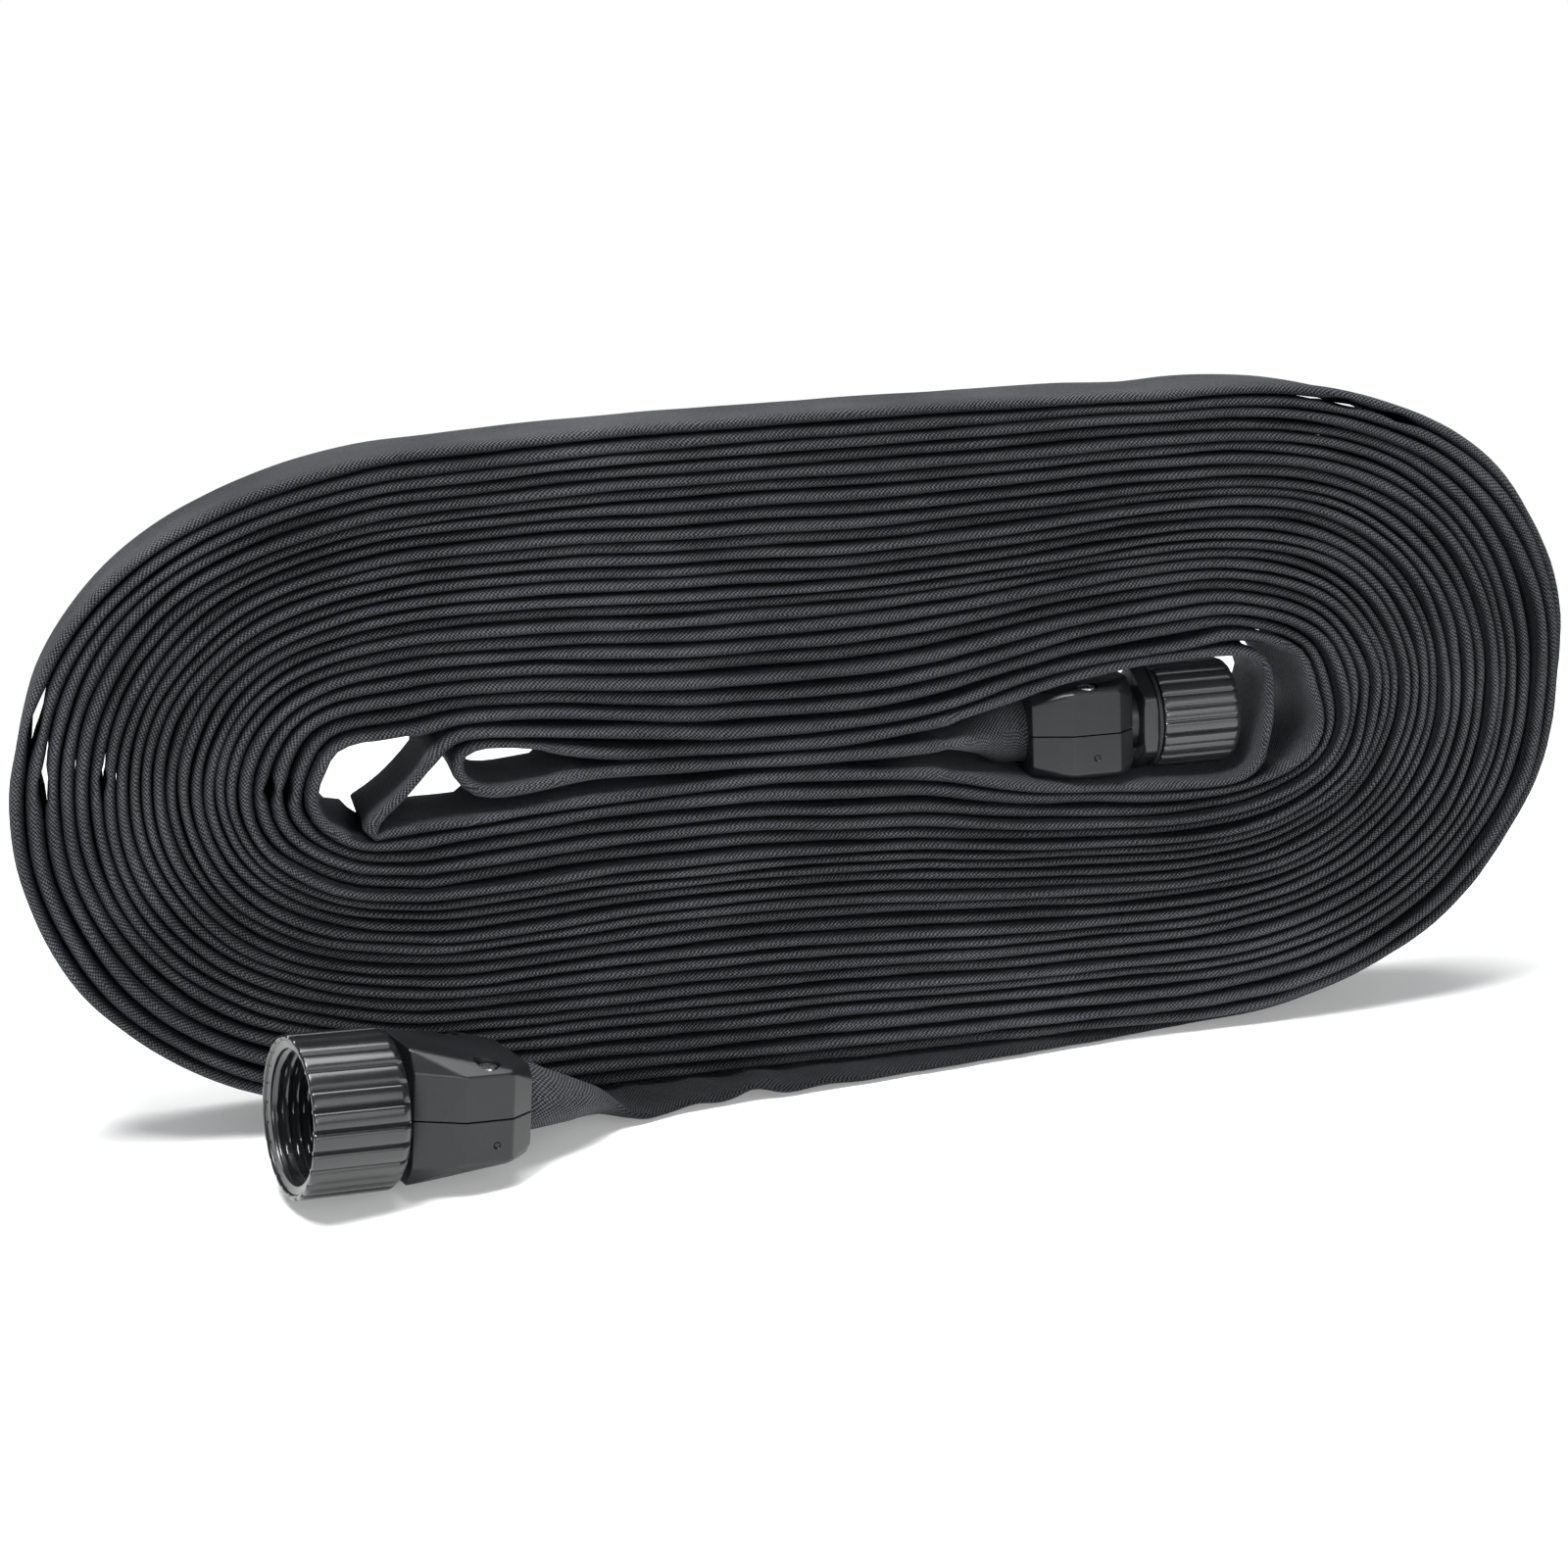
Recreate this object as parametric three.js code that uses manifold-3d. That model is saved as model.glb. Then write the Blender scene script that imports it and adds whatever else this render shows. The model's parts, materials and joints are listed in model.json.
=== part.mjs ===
// Rolled lay-flat fire hose: one long flat hose wound into an upright oblong
// coil, a swivel inlet coupling lying beside the coil on a short tail, and an
// outlet coupling with a screw cap held in the middle of the coil.
// Millimetres, +Z up, floor at z = 0, the coil's axis runs along Y, front is -Y.
import * as THREE from 'three';
import { mergeVertices } from 'three/addons/utils/BufferGeometryUtils.js';
import { ConvexGeometry } from 'three/addons/geometries/ConvexGeometry.js';
import Module from 'manifold-3d';

// ---------------------------------------------------------------- dimensions
// Along each coupling, x is measured on the coupling's own axis.
const HOSE_WIDTH = 28; // lay-flat width of the empty hose
const SLEEVE_RADIUS = 7.95; // outside of the hose where it sits on a barb
const ROUND_SEGS = 12; // facets of the round hose ends
const JACKET = {
  faceWall: 0.28, // one flattened side
  foldWall: 0.6, // at the folded edges
  roundWall: 0.5, // where the hose opens to a round end
  wallShare: 0.28, // most of the half thickness that a flared wall may take
};
const LINER = {
  wall: 0.35, // at the round ends
  gap: 0.2, // clearance to the jacket
  faceGap: 0.15, // clearance on the flat faces
  endGap: 0.25, // clearance at the round ends
  endThickness: 7, // half thickness above which a station counts as a round end
};

const NECK_HOLE = 7.3; // radius of the holes around the stem necks
const NUT = {
  radius: 16.4, length: 20, lobes: 24, groove: 0.6,
  startRim: [0.7, 0.8], endRim: [0.7, 0.8], rimSegs: 64, // rims: [depth, length]
  mouth: 14, bore: 13, wall: 4,
  threadMajor: 13.55, threadMinor: 12.6, threadStart: 1.5, pitch: 2.209, turns: 4,
};
const CAP = {
  radius: 11.8, length: 17.9, lobes: 24, groove: 0.4,
  startRim: [0.7, 0.7], endRim: [1.4, 1.4], rimSegs: 72,
  start: 76.9, bore: 10.65, wall: 2.7,
};
const WASHER = { radius: 12.2, hole: 8.2, thickness: 2.9, end: 13.3 };
const CAP_WASHER = { radius: 10.3, hole: 5.5, thickness: 2.4, gap: 0.2 };
const SEAL = { radius: 11.3, hole: 9.95, thickness: 0.8, start: 75.8 };

const STEM = { bore: 5, neck: 7, collar: 8, barbRoot: 6, barbTip: 6.45, tipChamfer: 0.4, segs: 24 };
const INLET_STEM = {
  start: 13.6, flangeEnd: 15.7, flange: 12.2, collar: [24.3, 26.4],
  barbStart: 27, barbPitch: 4.5, teeth: 4, end: 45.4,
};
const OUTLET_STEM = {
  start: 47.6, barbStart: 48, barbPitch: 4.2, teeth: 4, collar: [65, 67], neckEnd: 73,
  threadRoot: 9.35, threadCrest: 10.35, threadStart: 77.4, pitch: 1.814, turns: 6,
  end: 89.2, mouthChamfer: 1.2,
};
// hexagon around the outlet stem
const HEX = { acrossFlats: 21, start: 72.3, end: 75.5, hole: 6 };

const SCREW = {
  shank: 1.3, head: 2.3, headHeight: 1.6, y: 11.2, bottom: -6, seat: 8.8,
  clearance: 0.35, headSink: 0.3, overlap: 0.2,
  slot: [2.8, 0.6, 1], slotTurn: 0.5, // slot size; turn in radians
};
const SHELL = { split: 0.1, height: 10, halfWidth: 15, cavity: 8.4 };
// side: +1 upper, -1 lower; bevel width and height along the shoulders
const SHELL_HALVES = [
  { name: 'upper', side: 1, bevelWidth: 1.2, bevelHeight: 0.7 },
  { name: 'lower', side: -1, bevelWidth: 2.6, bevelHeight: 1.3 },
];
// ends of a clamp body: [half width, height of the side, half width on top, height on top]
const HOSE_END = [11.3, 6.8, 9.0, 9.4];
const INLET_NOSE = [10.2, 9.8, 7.6, 14.2];
const OUTLET_NOSE = [11.3, 7.6, 7.6, 11.2];
// The cavity is as long as the body, but shifted toward the hose so that a lip
// stays at the nose.
const INLET_BODY = {
  ends: [22, 47], shoulders: [31.5, 41.5], endShapes: [INLET_NOSE, HOSE_END],
  cavityShift: 2, screwX: 37,
};
const OUTLET_BODY = {
  ends: [46, 69.3], shoulders: [54.5, 65], endShapes: [HOSE_END, OUTLET_NOSE],
  cavityShift: -2, screwX: 58.5,
};

// inlet coupling: centre of the nut mouth, which faces -X and partly the front
const INLET_AT = new THREE.Vector3(-121.5, -55.5, 18.75);
const INLET_YAW = 15; // degrees about Z
const INLET_TILT = 6; // degrees, mouth end high
// outlet coupling: its axis is parallel to X through the middle of the coil
const OUTLET_Z = 70.8;
const OUTLET_X = 0.6; // shift of the whole outlet coupling along its axis

// ----------------------------------------------------------- hose centre line
// The tables follow the hose from the outlet coupling to the inlet coupling.

// Outlet barb and flare: x, height above the outlet axis, half width, half thickness.
const OUTLET_FLARE = [
  [64.7 + OUTLET_X, 0, SLEEVE_RADIUS, SLEEVE_RADIUS],
  [56 + OUTLET_X, 0, SLEEVE_RADIUS, SLEEVE_RADIUS],
  [47.2 + OUTLET_X, 0, SLEEVE_RADIUS, SLEEVE_RADIUS],
  [45.6 + OUTLET_X, 0, 8.1, 7.2],
  [41, 0.1, 10.2, 5.2],
  [36.5, 0.2, 12.2, 3.2],
  [31.5, 0.3, 13.4, 1.8],
];

// Flat hose folded around the outlet coupling: x, z, local thickness, at y = 0.
const COIL_CORE = [
  25.1,71.21,2.5, 11.9,71.01,2.5, -9.8,71.29,2.5, -31.1,71.88,2.5, -43.7,72.31,2.5,
  -52.1,72.14,2.5, -60.5,71.23,2.5, -67.8,70.45,2.5, -74,70.51,2.5, -78,72.46,2.5,
  -79.6,76.18,2.5, -78.3,79.42,2.3, -75,80.47,2.02, -68.2,80.17,2.02, -60.1,78.79,2.02,
  -51.8,76.98,2.5, -43.5,75.79,2.5, -30.9,75.27,2.5, -9.6,74.5,2.5, 7.7,74.85,2.5,
  25.2,76.51,2.5, 40.8,80.23,1.56, 52,83.16,1.38, 63.2,84.81,1.38, 74.5,85.92,1.38,
  86.1,86.59,1.64, 93.2,86.32,2.42, 97.8,84.95,2.5, 101,81.59,2.5, 101.5,76.69,2.5,
  101.6,71.4,2.5, 100.7,65.9,2.5, 99.1,60.9,1.37, 95.1,57.6,1.12, 88,56.87,1.12,
  70.5,57.63,1.09, 50.4,59.21,1.09, 40.3,60.94,1.09, 27,64.05,1.48, 11.7,66.26,2.5,
  -9.9,67.86,2.5, -27.1,67.22,2.47, -44.1,66.48,2.47, -60.9,65.54,1.89, -77.5,63.98,1.89,
  -89.8,63.82,1.49, -96.8,63.13,1.49, -99.2,63.79,1.49, -98.2,65.8,1.91, -94.4,68.78,2.5,
  -89.8,72.95,2.5, -84.1,79.11,2.33, -81.4,82.41,1.31, -76.2,83.3,1.31, -63.8,82.28,1.31,
  -51.6,81.18,2, -43.3,80.53,2.5, -0.4,77.89,2.5, 43.6,84.13,1.38, 88.5,89.76,1.38,
  100.4,88.78,2.11, 110.5,81.3,1.92, 113.6,69.42,1.38, 108,59.95,1.38, 99.2,56.54,1.37,
  91.1,55.18,1.12, 60.3,56.34,1.09, 30.1,60.35,1.09, -29,64.22,1.89,
];

// The turns around the core, four lines to a turn: x, z, local thickness, at y = 0.
const COIL_TURNS = [
  -84.7,61.26,1.89, -91.4,60.64,1.49, -102,61.76,1.49, -109.8,71.96,1.49, -104,83.11,1.98,
  -92.6,84.61,1.98, -84.9,85.25,1.31, -43.6,84.22,1.31, -0.6,82.05,2.5, 43.4,87.67,2.3,
  88.2,93.38,2.11, 101.6,91.16,2.11, 113.1,82.84,1.76, 116.3,69.39,1.42, 110,58.85,1.38,
  100.5,54.62,1.38, 91.3,52.54,1.65, 60.6,52.78,1.68, 30.3,56.42,1.8, -28.9,60.52,2.29,
  -84.7,57.86,1.91, -93,57.78,1.49, -104.5,60.31,1.49, -113.5,72,1.5, -107,84.92,1.98,
  -94.2,87.6,1.98, -85,88.85,2.5, -43.7,87.26,2.5, -0.7,85.83,2.5, 43.2,91.08,2.35,
  88,96.19,2.13, 102.9,93.55,1.92, 115.8,84.36,1.49, 118.8,69.37,1.46, 112,57.76,1.42,
  101.7,52.76,1.42, 91.5,50.42,1.65, 60.7,50.53,1.68, 30.5,53.68,1.8, -28.8,57.53,2.29,
  -84.7,54.95,1.91, -94.3,55.49,1.5, -106.8,58.93,1.5, -116.8,72.04,1.84, -110.4,86.96,1.92,
  -96.2,91.1,1.92, -85.1,92.21,2.5, -43.8,90.83,2.5, -0.9,89.74,2.5, 43,94.43,2.05,
  87.8,99.06,2.02, 104.2,95.93,1.85, 118,85.65,1.53, 121,69.34,1.49, 114,56.66,1.46,
  103,50.9,1.46, 91.7,48.29,1.66, 60.8,48.26,1.69, 30.6,50.87,1.83, -28.7,54.44,2.11,
  -84.7,51.98,2.27, -95.7,52.87,1.84, -109.4,57.38,1.84, -120,72.07,1.95, -112.9,88.49,1.92,
  -98.1,94.33,1.92, -85.1,95.75,2.32, -43.9,94.44,2.44, -1,93.48,2.31, 42.8,97.49,2,
  87.7,101.61,2, 105.4,98.2,1.85, 120.2,86.89,1.62, 123.2,69.32,1.51, 116,55.56,1.49,
  104.2,49.04,1.49, 91.8,46.16,1.67, 61,45.99,1.64, 30.8,48.31,1.64, -28.6,51.28,1.64,
  -84.7,49.18,1.81, -97.2,50.28,1.77, -112.1,55.82,1.73, -123.5,72.11,1.73, -115.4,90.01,1.73,
  -99.6,96.94,1.97, -85.2,98.64,2.23, -43.9,97.46,2.43, -1.2,96.58,2.31, 42.7,100.24,1.93,
  87.5,104.11,1.81, 106.5,100.48,1.81, 122.3,88.15,1.81, 125.5,69.29,1.54, 118,54.45,1.51,
  105.5,47.17,1.51, 92,44.03,1.67, 61.1,43.87,1.64, 30.9,46.22,1.6, -28.5,48.69,1.6,
  -84.7,46.74,1.4, -98.4,48.13,1.34, -114.5,54.4,1.32, -126.1,72.14,1.32, -117.9,91.51,1.32,
  -101,99.46,1.61, -85.2,101.53,1.93, -44,100.56,2.17, -1.3,99.8,2.08, 42.5,103.11,1.6,
  87.3,106.53,1.6, 107.6,102.54,1.6, 124.5,89.38,1.84, 128.2,69.26,1.6, 120,53.35,1.54,
  106.7,45.27,1.54, 92.2,41.89,1.68, 61.3,41.75,1.64, 31,44.13,1.6, -28.4,46.64,1.6,
  -84.7,44.64,1.4, -99.3,46.41,1.34, -116.4,53.27,1.32, -128.2,72.17,1.32, -120,92.77,1.39,
  -102.3,101.68,1.44, -85.3,104.14,1.68, -44.1,103.67,1.79, -1.4,103.08,1.73, 42.4,105.64,1.59,
  87.2,108.58,1.59, 108.8,104.72,1.59, 126.7,90.66,1.72, 130.9,69.23,1.61, 122.1,52.22,1.6,
  108,43.37,1.6, 92.4,39.73,1.69, 61.4,39.42,1.72, 31.1,41.83,1.85, -28.4,44.34,1.85,
  -84.7,42.14,1.78, -100.5,44.33,1.64, -118.6,51.98,1.39, -130.3,72.19,1.39, -121.8,93.91,1.44,
  -103.4,103.65,1.44, -85.3,106.38,1.68, -44.1,106.29,1.54, -1.5,105.65,1.54, 42.2,107.81,1.54,
  87.1,110.62,1.54, 109.9,106.89,1.54, 128.8,91.86,1.54, 133.4,69.2,1.6, 124.1,51.09,1.6,
  109.3,41.47,1.6, 92.6,37.57,1.68, 61.6,37.09,1.68, 31.2,39.31,1.68, -28.3,41.74,1.85,
  -84.7,39.45,1.79, -101.9,41.88,1.72, -121.4,50.34,1.72, -133,72.22,1.72, -124.2,95.34,1.77,
  -104.7,105.99,1.88, -85.4,108.88,1.95, -44.2,108.69,1.54, -1.6,107.63,1.54, 42.1,109.81,1.54,
  86.9,112.65,1.54, 110.9,108.71,1.54, 130.8,93.01,1.61, 135.7,69.18,1.62, 126.1,49.98,1.6,
  110.6,39.59,1.6, 92.8,35.42,1.68, 61.7,34.96,1.68, 31.4,36.99,1.68, -28.2,39.39,1.82,
  -84.7,37.15,1.78, -103,39.79,1.52, -123.6,49.02,1.52, -135.5,72.25,1.52, -126.5,96.72,1.58,
  -106,108.26,1.61, -85.4,111.52,1.78, -44.3,111.48,1.93, -1.7,110.36,2, 42,112.26,1.96,
  86.8,115.05,1.96, 112.2,111.2,1.96, 133.2,94.4,1.98, 138.4,69.15,1.7, 128.2,48.82,1.69,
  111.8,37.69,1.69, 92.9,33.27,1.7, 61.9,32.7,1.71, 31.5,34.55,1.81, -28.1,36.83,1.82,
  -84.7,34.89,1.78, -104.2,37.71,1.52, -125.7,47.82,1.52, -137.8,72.28,1.58, -128.5,97.93,1.61,
  -107.2,110.31,1.61, -85.4,113.9,1.78, -44.3,114.19,1.93, -1.8,113.13,2.03, 41.8,114.83,1.72,
  86.6,117.59,1.72, 113.5,113.75,1.72, 135.4,95.71,1.74, 141.1,69.12,1.76, 130.3,47.66,1.7,
  113.1,35.79,1.7, 93.1,31.11,1.7, 62,30.33,1.71, 31.6,31.7,1.92, -28,33.66,2.08,
  -84.7,32.12,1.81, -105.6,35.25,1.62, -128.1,46.36,1.62, -140.6,72.31,1.62, -130.7,99.3,1.66,
  -108.4,112.57,1.66, -85.5,116.34,1.82, -44.4,116.87,2, -2,115.82,2.03, 41.7,117.3,1.58,
  86.5,119.76,1.58, 114.6,115.79,1.58, 137.6,96.95,1.62, 143.6,69.09,1.76, 132.6,46.43,1.76,
  114.5,33.73,1.84, 93.3,28.7,1.88, 62.2,27.73,1.97, 31.8,28.86,2.07, -28,30.87,1.68,
  -84.7,29.59,1.62, -106.7,33.16,1.5, -130.2,45.12,1.5, -142.9,72.33,1.46, -132.8,100.54,1.46,
  -109.6,114.66,1.46, -85.5,118.79,1.68, -44.5,119.49,1.91, -2.1,118.62,2.03, 41.5,119.77,1.58,
  86.3,121.79,1.58, 115.6,117.73,1.58, 139.8,98.23,1.62, 146.1,69.06,1.89, 134.8,45.2,1.8,
  115.9,31.67,1.76, 93.6,26.28,1.76, 62.3,25.22,1.76, 31.9,26.13,1.76, -27.9,28.27,1.68,
  -84.7,27.47,1.62, -107.8,31.26,1.5, -132.2,43.96,1.5, -145.1,72.36,1.54, -134.6,101.64,1.46,
  -110.7,116.61,1.46, -85.6,121.15,1.68, -44.5,121.98,1.91, -2.2,121.27,2.04, 41.4,122.25,1.61,
  86.2,123.84,1.61, 116.6,119.66,1.61, 142.2,99.62,1.73, 149,69.03,2.21, 137.5,43.7,1.94,
  117.2,29.68,1.76, 93.7,24.07,1.76, 62.5,23.01,1.76, 32.1,23.59,1.76, -27.8,25.34,2.04,
  -84.7,24.97,1.99, -109.1,29.01,1.99, -134.6,42.51,1.97, -147.8,72.39,1.9, -136.6,102.86,1.66,
  -112,118.78,1.66, -85.6,123.79,1.79, -44.6,124.75,1.82, -2.3,124.38,2.32, 41.2,125.14,2.13,
  86,126.42,2.08, 117.9,122.05,2.08, 144.9,101.17,1.94, 152.1,68.99,1.83, 140.4,42.12,1.83,
  118.8,27.26,1.83, 94,21.27,2.09, 62.6,20.42,2.09, 32.2,20.81,2.09, -27.7,22.18,2.18,
  -84.7,22.19,2.01, -110.4,26.67,1.89, -137.1,41.05,1.89, -150.4,72.42,1.8, -138.9,104.27,1.55,
  -113.1,120.82,1.53, -85.6,126.06,1.53, -44.7,127.58,1.53, -2.4,127.59,1.98, 41,128.13,2.05,
  85.8,129.31,2.04, 119.2,124.46,1.93, 147.3,102.54,1.79, 154.7,68.96,1.68, 142.6,40.9,1.68,
  120.4,24.9,1.68, 94.2,18.49,1.71, 62.8,17.89,1.69, 32.4,18.15,1.69, -27.6,19.27,1.69,
  -84.7,19.55,1.82, -111.6,24.4,1.83, -139.5,39.68,1.89, -153,72.45,1.93, -141.1,105.58,1.62,
  -114.2,122.63,1.53, -85.7,128.04,1.53, -44.7,130.01,1.53, -2.6,130.17,1.98, 40.9,130.67,1.88,
  85.6,131.81,1.88, 120.4,126.84,1.88, 149.5,103.82,1.74, 157.1,68.94,1.69, 144.7,39.77,1.68,
  121.7,22.97,1.68, 94.4,16.28,1.71, 63,15.73,1.69, 32.5,16.02,1.69, -27.5,17,1.69,
  -84.7,17.28,1.82, -113,22.01,1.83, -141.9,38.24,2.03, -155.8,72.48,2.14, -143.3,106.95,1.94,
  -115.4,124.76,1.89, -85.7,130.56,1.89, -44.8,132.45,1.99, -2.7,132.75,1.99, 40.7,133.24,1.88,
  85.5,134.14,1.88, 121.6,129.06,1.88, 151.7,105.07,1.88, 159.5,68.91,1.74, 146.7,38.63,1.69,
  123,21.04,1.69, 94.6,13.91,1.75, 63.1,13.24,1.93, 32.6,13.47,2.04, -27.5,14.05,2.1,
  -84.8,14.45,2.38, -114.7,18.99,2.38, -144.9,36.45,2.19, -158.8,72.51,1.93, -146.3,108.76,1.75,
  -116.8,127.29,1.75, -85.8,133.48,1.75, -44.9,135.32,1.83, -2.8,135.78,1.88, 40.6,136.19,1.89,
  85.3,136.68,1.89, 122.7,131.27,1.89, 154.3,106.6,2.04, 162.3,68.88,2.18, 149.3,37.22,2.18,
  124.7,18.51,2.22, 94.9,10.93,2.43, 63.3,10.23,2.5, 32.8,10.28,2.5, -27.3,10.33,2.5,
  -84.8,11,2.5, -116.6,15.48,2.5, -148,34.65,2.19, -161.6,72.54,1.76, -148.6,110.13,1.76,
  -117.9,129.28,1.75, -85.8,135.76,1.75, -44.9,137.65,1.83, -2.9,138.17,1.88, 40.4,138.65,1.69,
  85.2,139.02,1.69, 124,133.62,1.69, 157.4,108.38,2.05, 165.9,68.84,2.5, 152.4,35.51,2.5,
  126.8,15.44,2.5, 95.2,7.25,2.5, 63.5,6.89,2.5, 33,6.91,2.47, -27.2,7,2.47,
  -84.8,7.26,2.47, -118.7,11.86,2.5, -151.5,32.56,2.5, -165.4,72.59,2.01, -150.7,111.41,1.76,
  -119.2,131.48,1.76, -85.9,138.39,1.97, -45,140.3,2.18, -3,140.85,1.99, 40.3,141.09,1.69,
  85,141.15,1.69, 125.2,135.99,1.69, 160.4,110.14,2.21, 169.3,68.8,2.26, 155.3,33.92,2.26,
  128.6,12.74,2.32, 95.5,3.94,2.25, 63.7,3.79,2.25, 33.1,3.87,2.25, -27.2,4.07,2.47,
  -84.8,3.77,2.47, -120.4,8.8,2.5, -154.9,30.59,2.5, -169.2,72.63,2.46, -153.2,112.92,2.18,
  -120.7,134.11,2.18, -85.9,141.52,2.43, -45.1,143.45,2.5, -3.1,144.03,2.46, 40.1,143.99,2.12,
  84.9,143.71,2.12,
];

// The end of the last turn, leaving the plane of the coil: x, y, z, local thickness.
const RUN_OUT = [
  [126.5, 0.1, 138.5, 2.12], [163.3, 1.5, 111.76, 2.39], [172.2, 3.8, 68.77, 2.26],
  [157.9, 5.5, 32.48, 2.26], [130.2, 5.6, 10.28, 2.32], [95.6, 5.6, 1.3, 2.1],
];
// The tail lying on the floor under the coil, same columns.
const TAIL = [[60, -0.4, 1.1, 2.2], [11, -7.6, 1.1, 2.2]];

// The flare that turns toward the inlet coupling and opens to round: x, y, z,
// half width, half thickness, yaw, pitch, squareness, roll. Angles in degrees.
// The roll keeps the rear edge low while it is still under the coil.
const INLET_FLARE = [
  [-34, -12.8, 1.1, 14, 1.1, 11, 0, 8, 0],
  [-42, -14.5, 1.1, 14, 1.1, 18, 0, 7, 0],
  [-48, -16.8, 1.3, 13.9, 1.1, 25, 4, 6, 0.5],
  [-53.2, -20.8, 2.3, 13.4, 1.25, 31, 12, 4, 5],
  [-58.5, -25.0, 4.1, 12.7, 2.0, 37, 19, 3, 12],
  [-62.8, -29.6, 6.4, 11.75, 3.4, 42, 23, 2.5, 11],
  [-67.1, -34.2, 8.8, 10.6, 5.0, 42, 24, 2.2, 9],
  [-69.9, -37.4, 10.6, 9.7, 6.0, 37, 24, 2.1, 6],
  [-72.4, -40.2, 12.1, 8.9, 6.8, 29, 20, 2, 3],
];
// On the inlet barb: x along the coupling, half width, half thickness.
const INLET_SLEEVE = [
  [48.3, 8.05, 7.3],
  [45.6, SLEEVE_RADIUS, SLEEVE_RADIUS],
  [36, SLEEVE_RADIUS, SLEEVE_RADIUS],
  [27, SLEEVE_RADIUS, SLEEVE_RADIUS],
];

// ------------------------------------------------------------------ materials
const standard = (settings) => new THREE.MeshStandardMaterial(settings);
const fabric = () => standard({ color: 0x17181a, roughness: 0.85 });
const linerRubber = () => standard({ color: 0x2b2b2c, roughness: 0.6 });
const glossy = () => standard({ color: 0x26282a, roughness: 0.35 });
const satin = () => standard({ color: 0x1f2123, roughness: 0.5 });
const sealRubber = () => standard({ color: 0x141414, roughness: 0.8 });
const screwMetal = () => standard({ color: 0xb9bcc0, roughness: 0.3, metalness: 1 });

// ------------------------------------------------------------------- helpers
const wasm = await Module();
wasm.setup();

const radians = THREE.MathUtils.degToRad;

function signedVolume(geometry) {
  const { position } = geometry.attributes;
  const { index } = geometry;
  const corners = [0, 1, 2].map(() => new THREE.Vector3());
  let volume = 0;
  for (let i = 0; i < index.count; i += 3) {
    corners.forEach((corner, k) => corner.fromBufferAttribute(position, index.getX(i + k)));
    volume += corners[0].dot(corners[1].cross(corners[2])) / 6;
  }
  return volume;
}

// closed mesh with shared vertices, no collapsed triangles, faces wound outward
function tidy(geometry) {
  const bare = geometry.clone();
  bare.deleteAttribute('normal');
  bare.deleteAttribute('uv');
  const merged = mergeVertices(bare, 1e-4);
  const source = merged.index.array;
  const kept = [];
  for (let i = 0; i < source.length; i += 3) {
    const [a, b, c] = source.slice(i, i + 3);
    if (a !== b && b !== c && a !== c) kept.push(a, b, c);
  }
  merged.setIndex(kept);
  if (signedVolume(merged) < 0) {
    for (let i = 0; i < kept.length; i += 3) [kept[i], kept[i + 1]] = [kept[i + 1], kept[i]];
    merged.setIndex(kept);
  }
  return merged;
}

function solid(geometry) {
  const merged = tidy(geometry);
  return new wasm.Manifold(new wasm.Mesh({
    numProp: 3,
    vertProperties: new Float32Array(merged.attributes.position.array),
    triVerts: new Uint32Array(merged.index.array),
  }));
}

function geometryOf(manifold) {
  const mesh = manifold.getMesh();
  const geometry = new THREE.BufferGeometry();
  const positions = new Float32Array(mesh.vertProperties);
  geometry.setAttribute('position', new THREE.BufferAttribute(positions, 3));
  geometry.setIndex(Array.from(mesh.triVerts));
  geometry.computeVertexNormals();
  return geometry;
}

function addMesh(parent, name, geometry, material) {
  const mesh = new THREE.Mesh(geometry, material);
  mesh.name = name;
  parent.add(mesh);
}

const addSolid = (parent, name, manifold, material) =>
  addMesh(parent, name, geometryOf(manifold), material);

// solid turned about the X axis, profile given as [radius, x] pairs
function turned(profile, segs) {
  const points = [...profile, profile[0]].map(([radius, x]) => new THREE.Vector2(radius, x));
  return solid(new THREE.LatheGeometry(points, segs).rotateZ(-Math.PI / 2));
}

function rodX(radius, x0, x1, segs) {
  const rod = new THREE.CylinderGeometry(radius, radius, x1 - x0, segs);
  return solid(rod.rotateZ(-Math.PI / 2).translate((x0 + x1) / 2, 0, 0));
}

function rodZ(radius, z0, z1, x, y, segs = 20) {
  const rod = new THREE.CylinderGeometry(radius, radius, z1 - z0, segs);
  return solid(rod.rotateX(Math.PI / 2).translate(x, y, (z0 + z1) / 2));
}

// flat ring starting at x0
function flatRing({ radius, hole, thickness }, x0) {
  const x1 = x0 + thickness;
  return turned([[hole, x0], [radius, x0], [radius, x1], [hole, x1]], 32);
}

// the same profile points [radius, x] repeated at a pitch
function ridges(start, pitch, count, ridge) {
  return Array.from({ length: count }, (_, i) =>
    ridge.map(([radius, x]) => [radius, start + i * pitch + x])).flat();
}

// knob with convex lobes parted by narrow grooves, and bevelled rims
function knob({ radius, length, lobes, groove, startRim, endRim, rimSegs }, x0) {
  const drops = [groove, 0.12, 0, 0.12]; // depth below the radius around one lobe
  const count = lobes * drops.length;
  const outline = Array.from({ length: count }, (_, i) => {
    const angle = (i / count) * 2 * Math.PI;
    const reach = radius - drops[i % drops.length];
    return new THREE.Vector2(reach * Math.cos(angle), reach * Math.sin(angle));
  });
  const extrusion = { depth: length, bevelEnabled: false };
  const blank = new THREE.ExtrudeGeometry(new THREE.Shape(outline), extrusion);
  blank.rotateY(Math.PI / 2).translate(x0, 0, 0);

  const x1 = x0 + length;
  const outside = radius + 2;
  const edge = radius + 0.05;
  const rims = turned([
    [radius - startRim[0], x0 - 0.01], [outside, x0 - 0.01],
    [outside, x1 + 0.01], [radius - endRim[0], x1 + 0.01],
    [edge, x1 - endRim[1]], [edge, x0 + startRim[1]],
  ], rimSegs);
  return solid(blank).subtract(rims);
}

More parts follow.
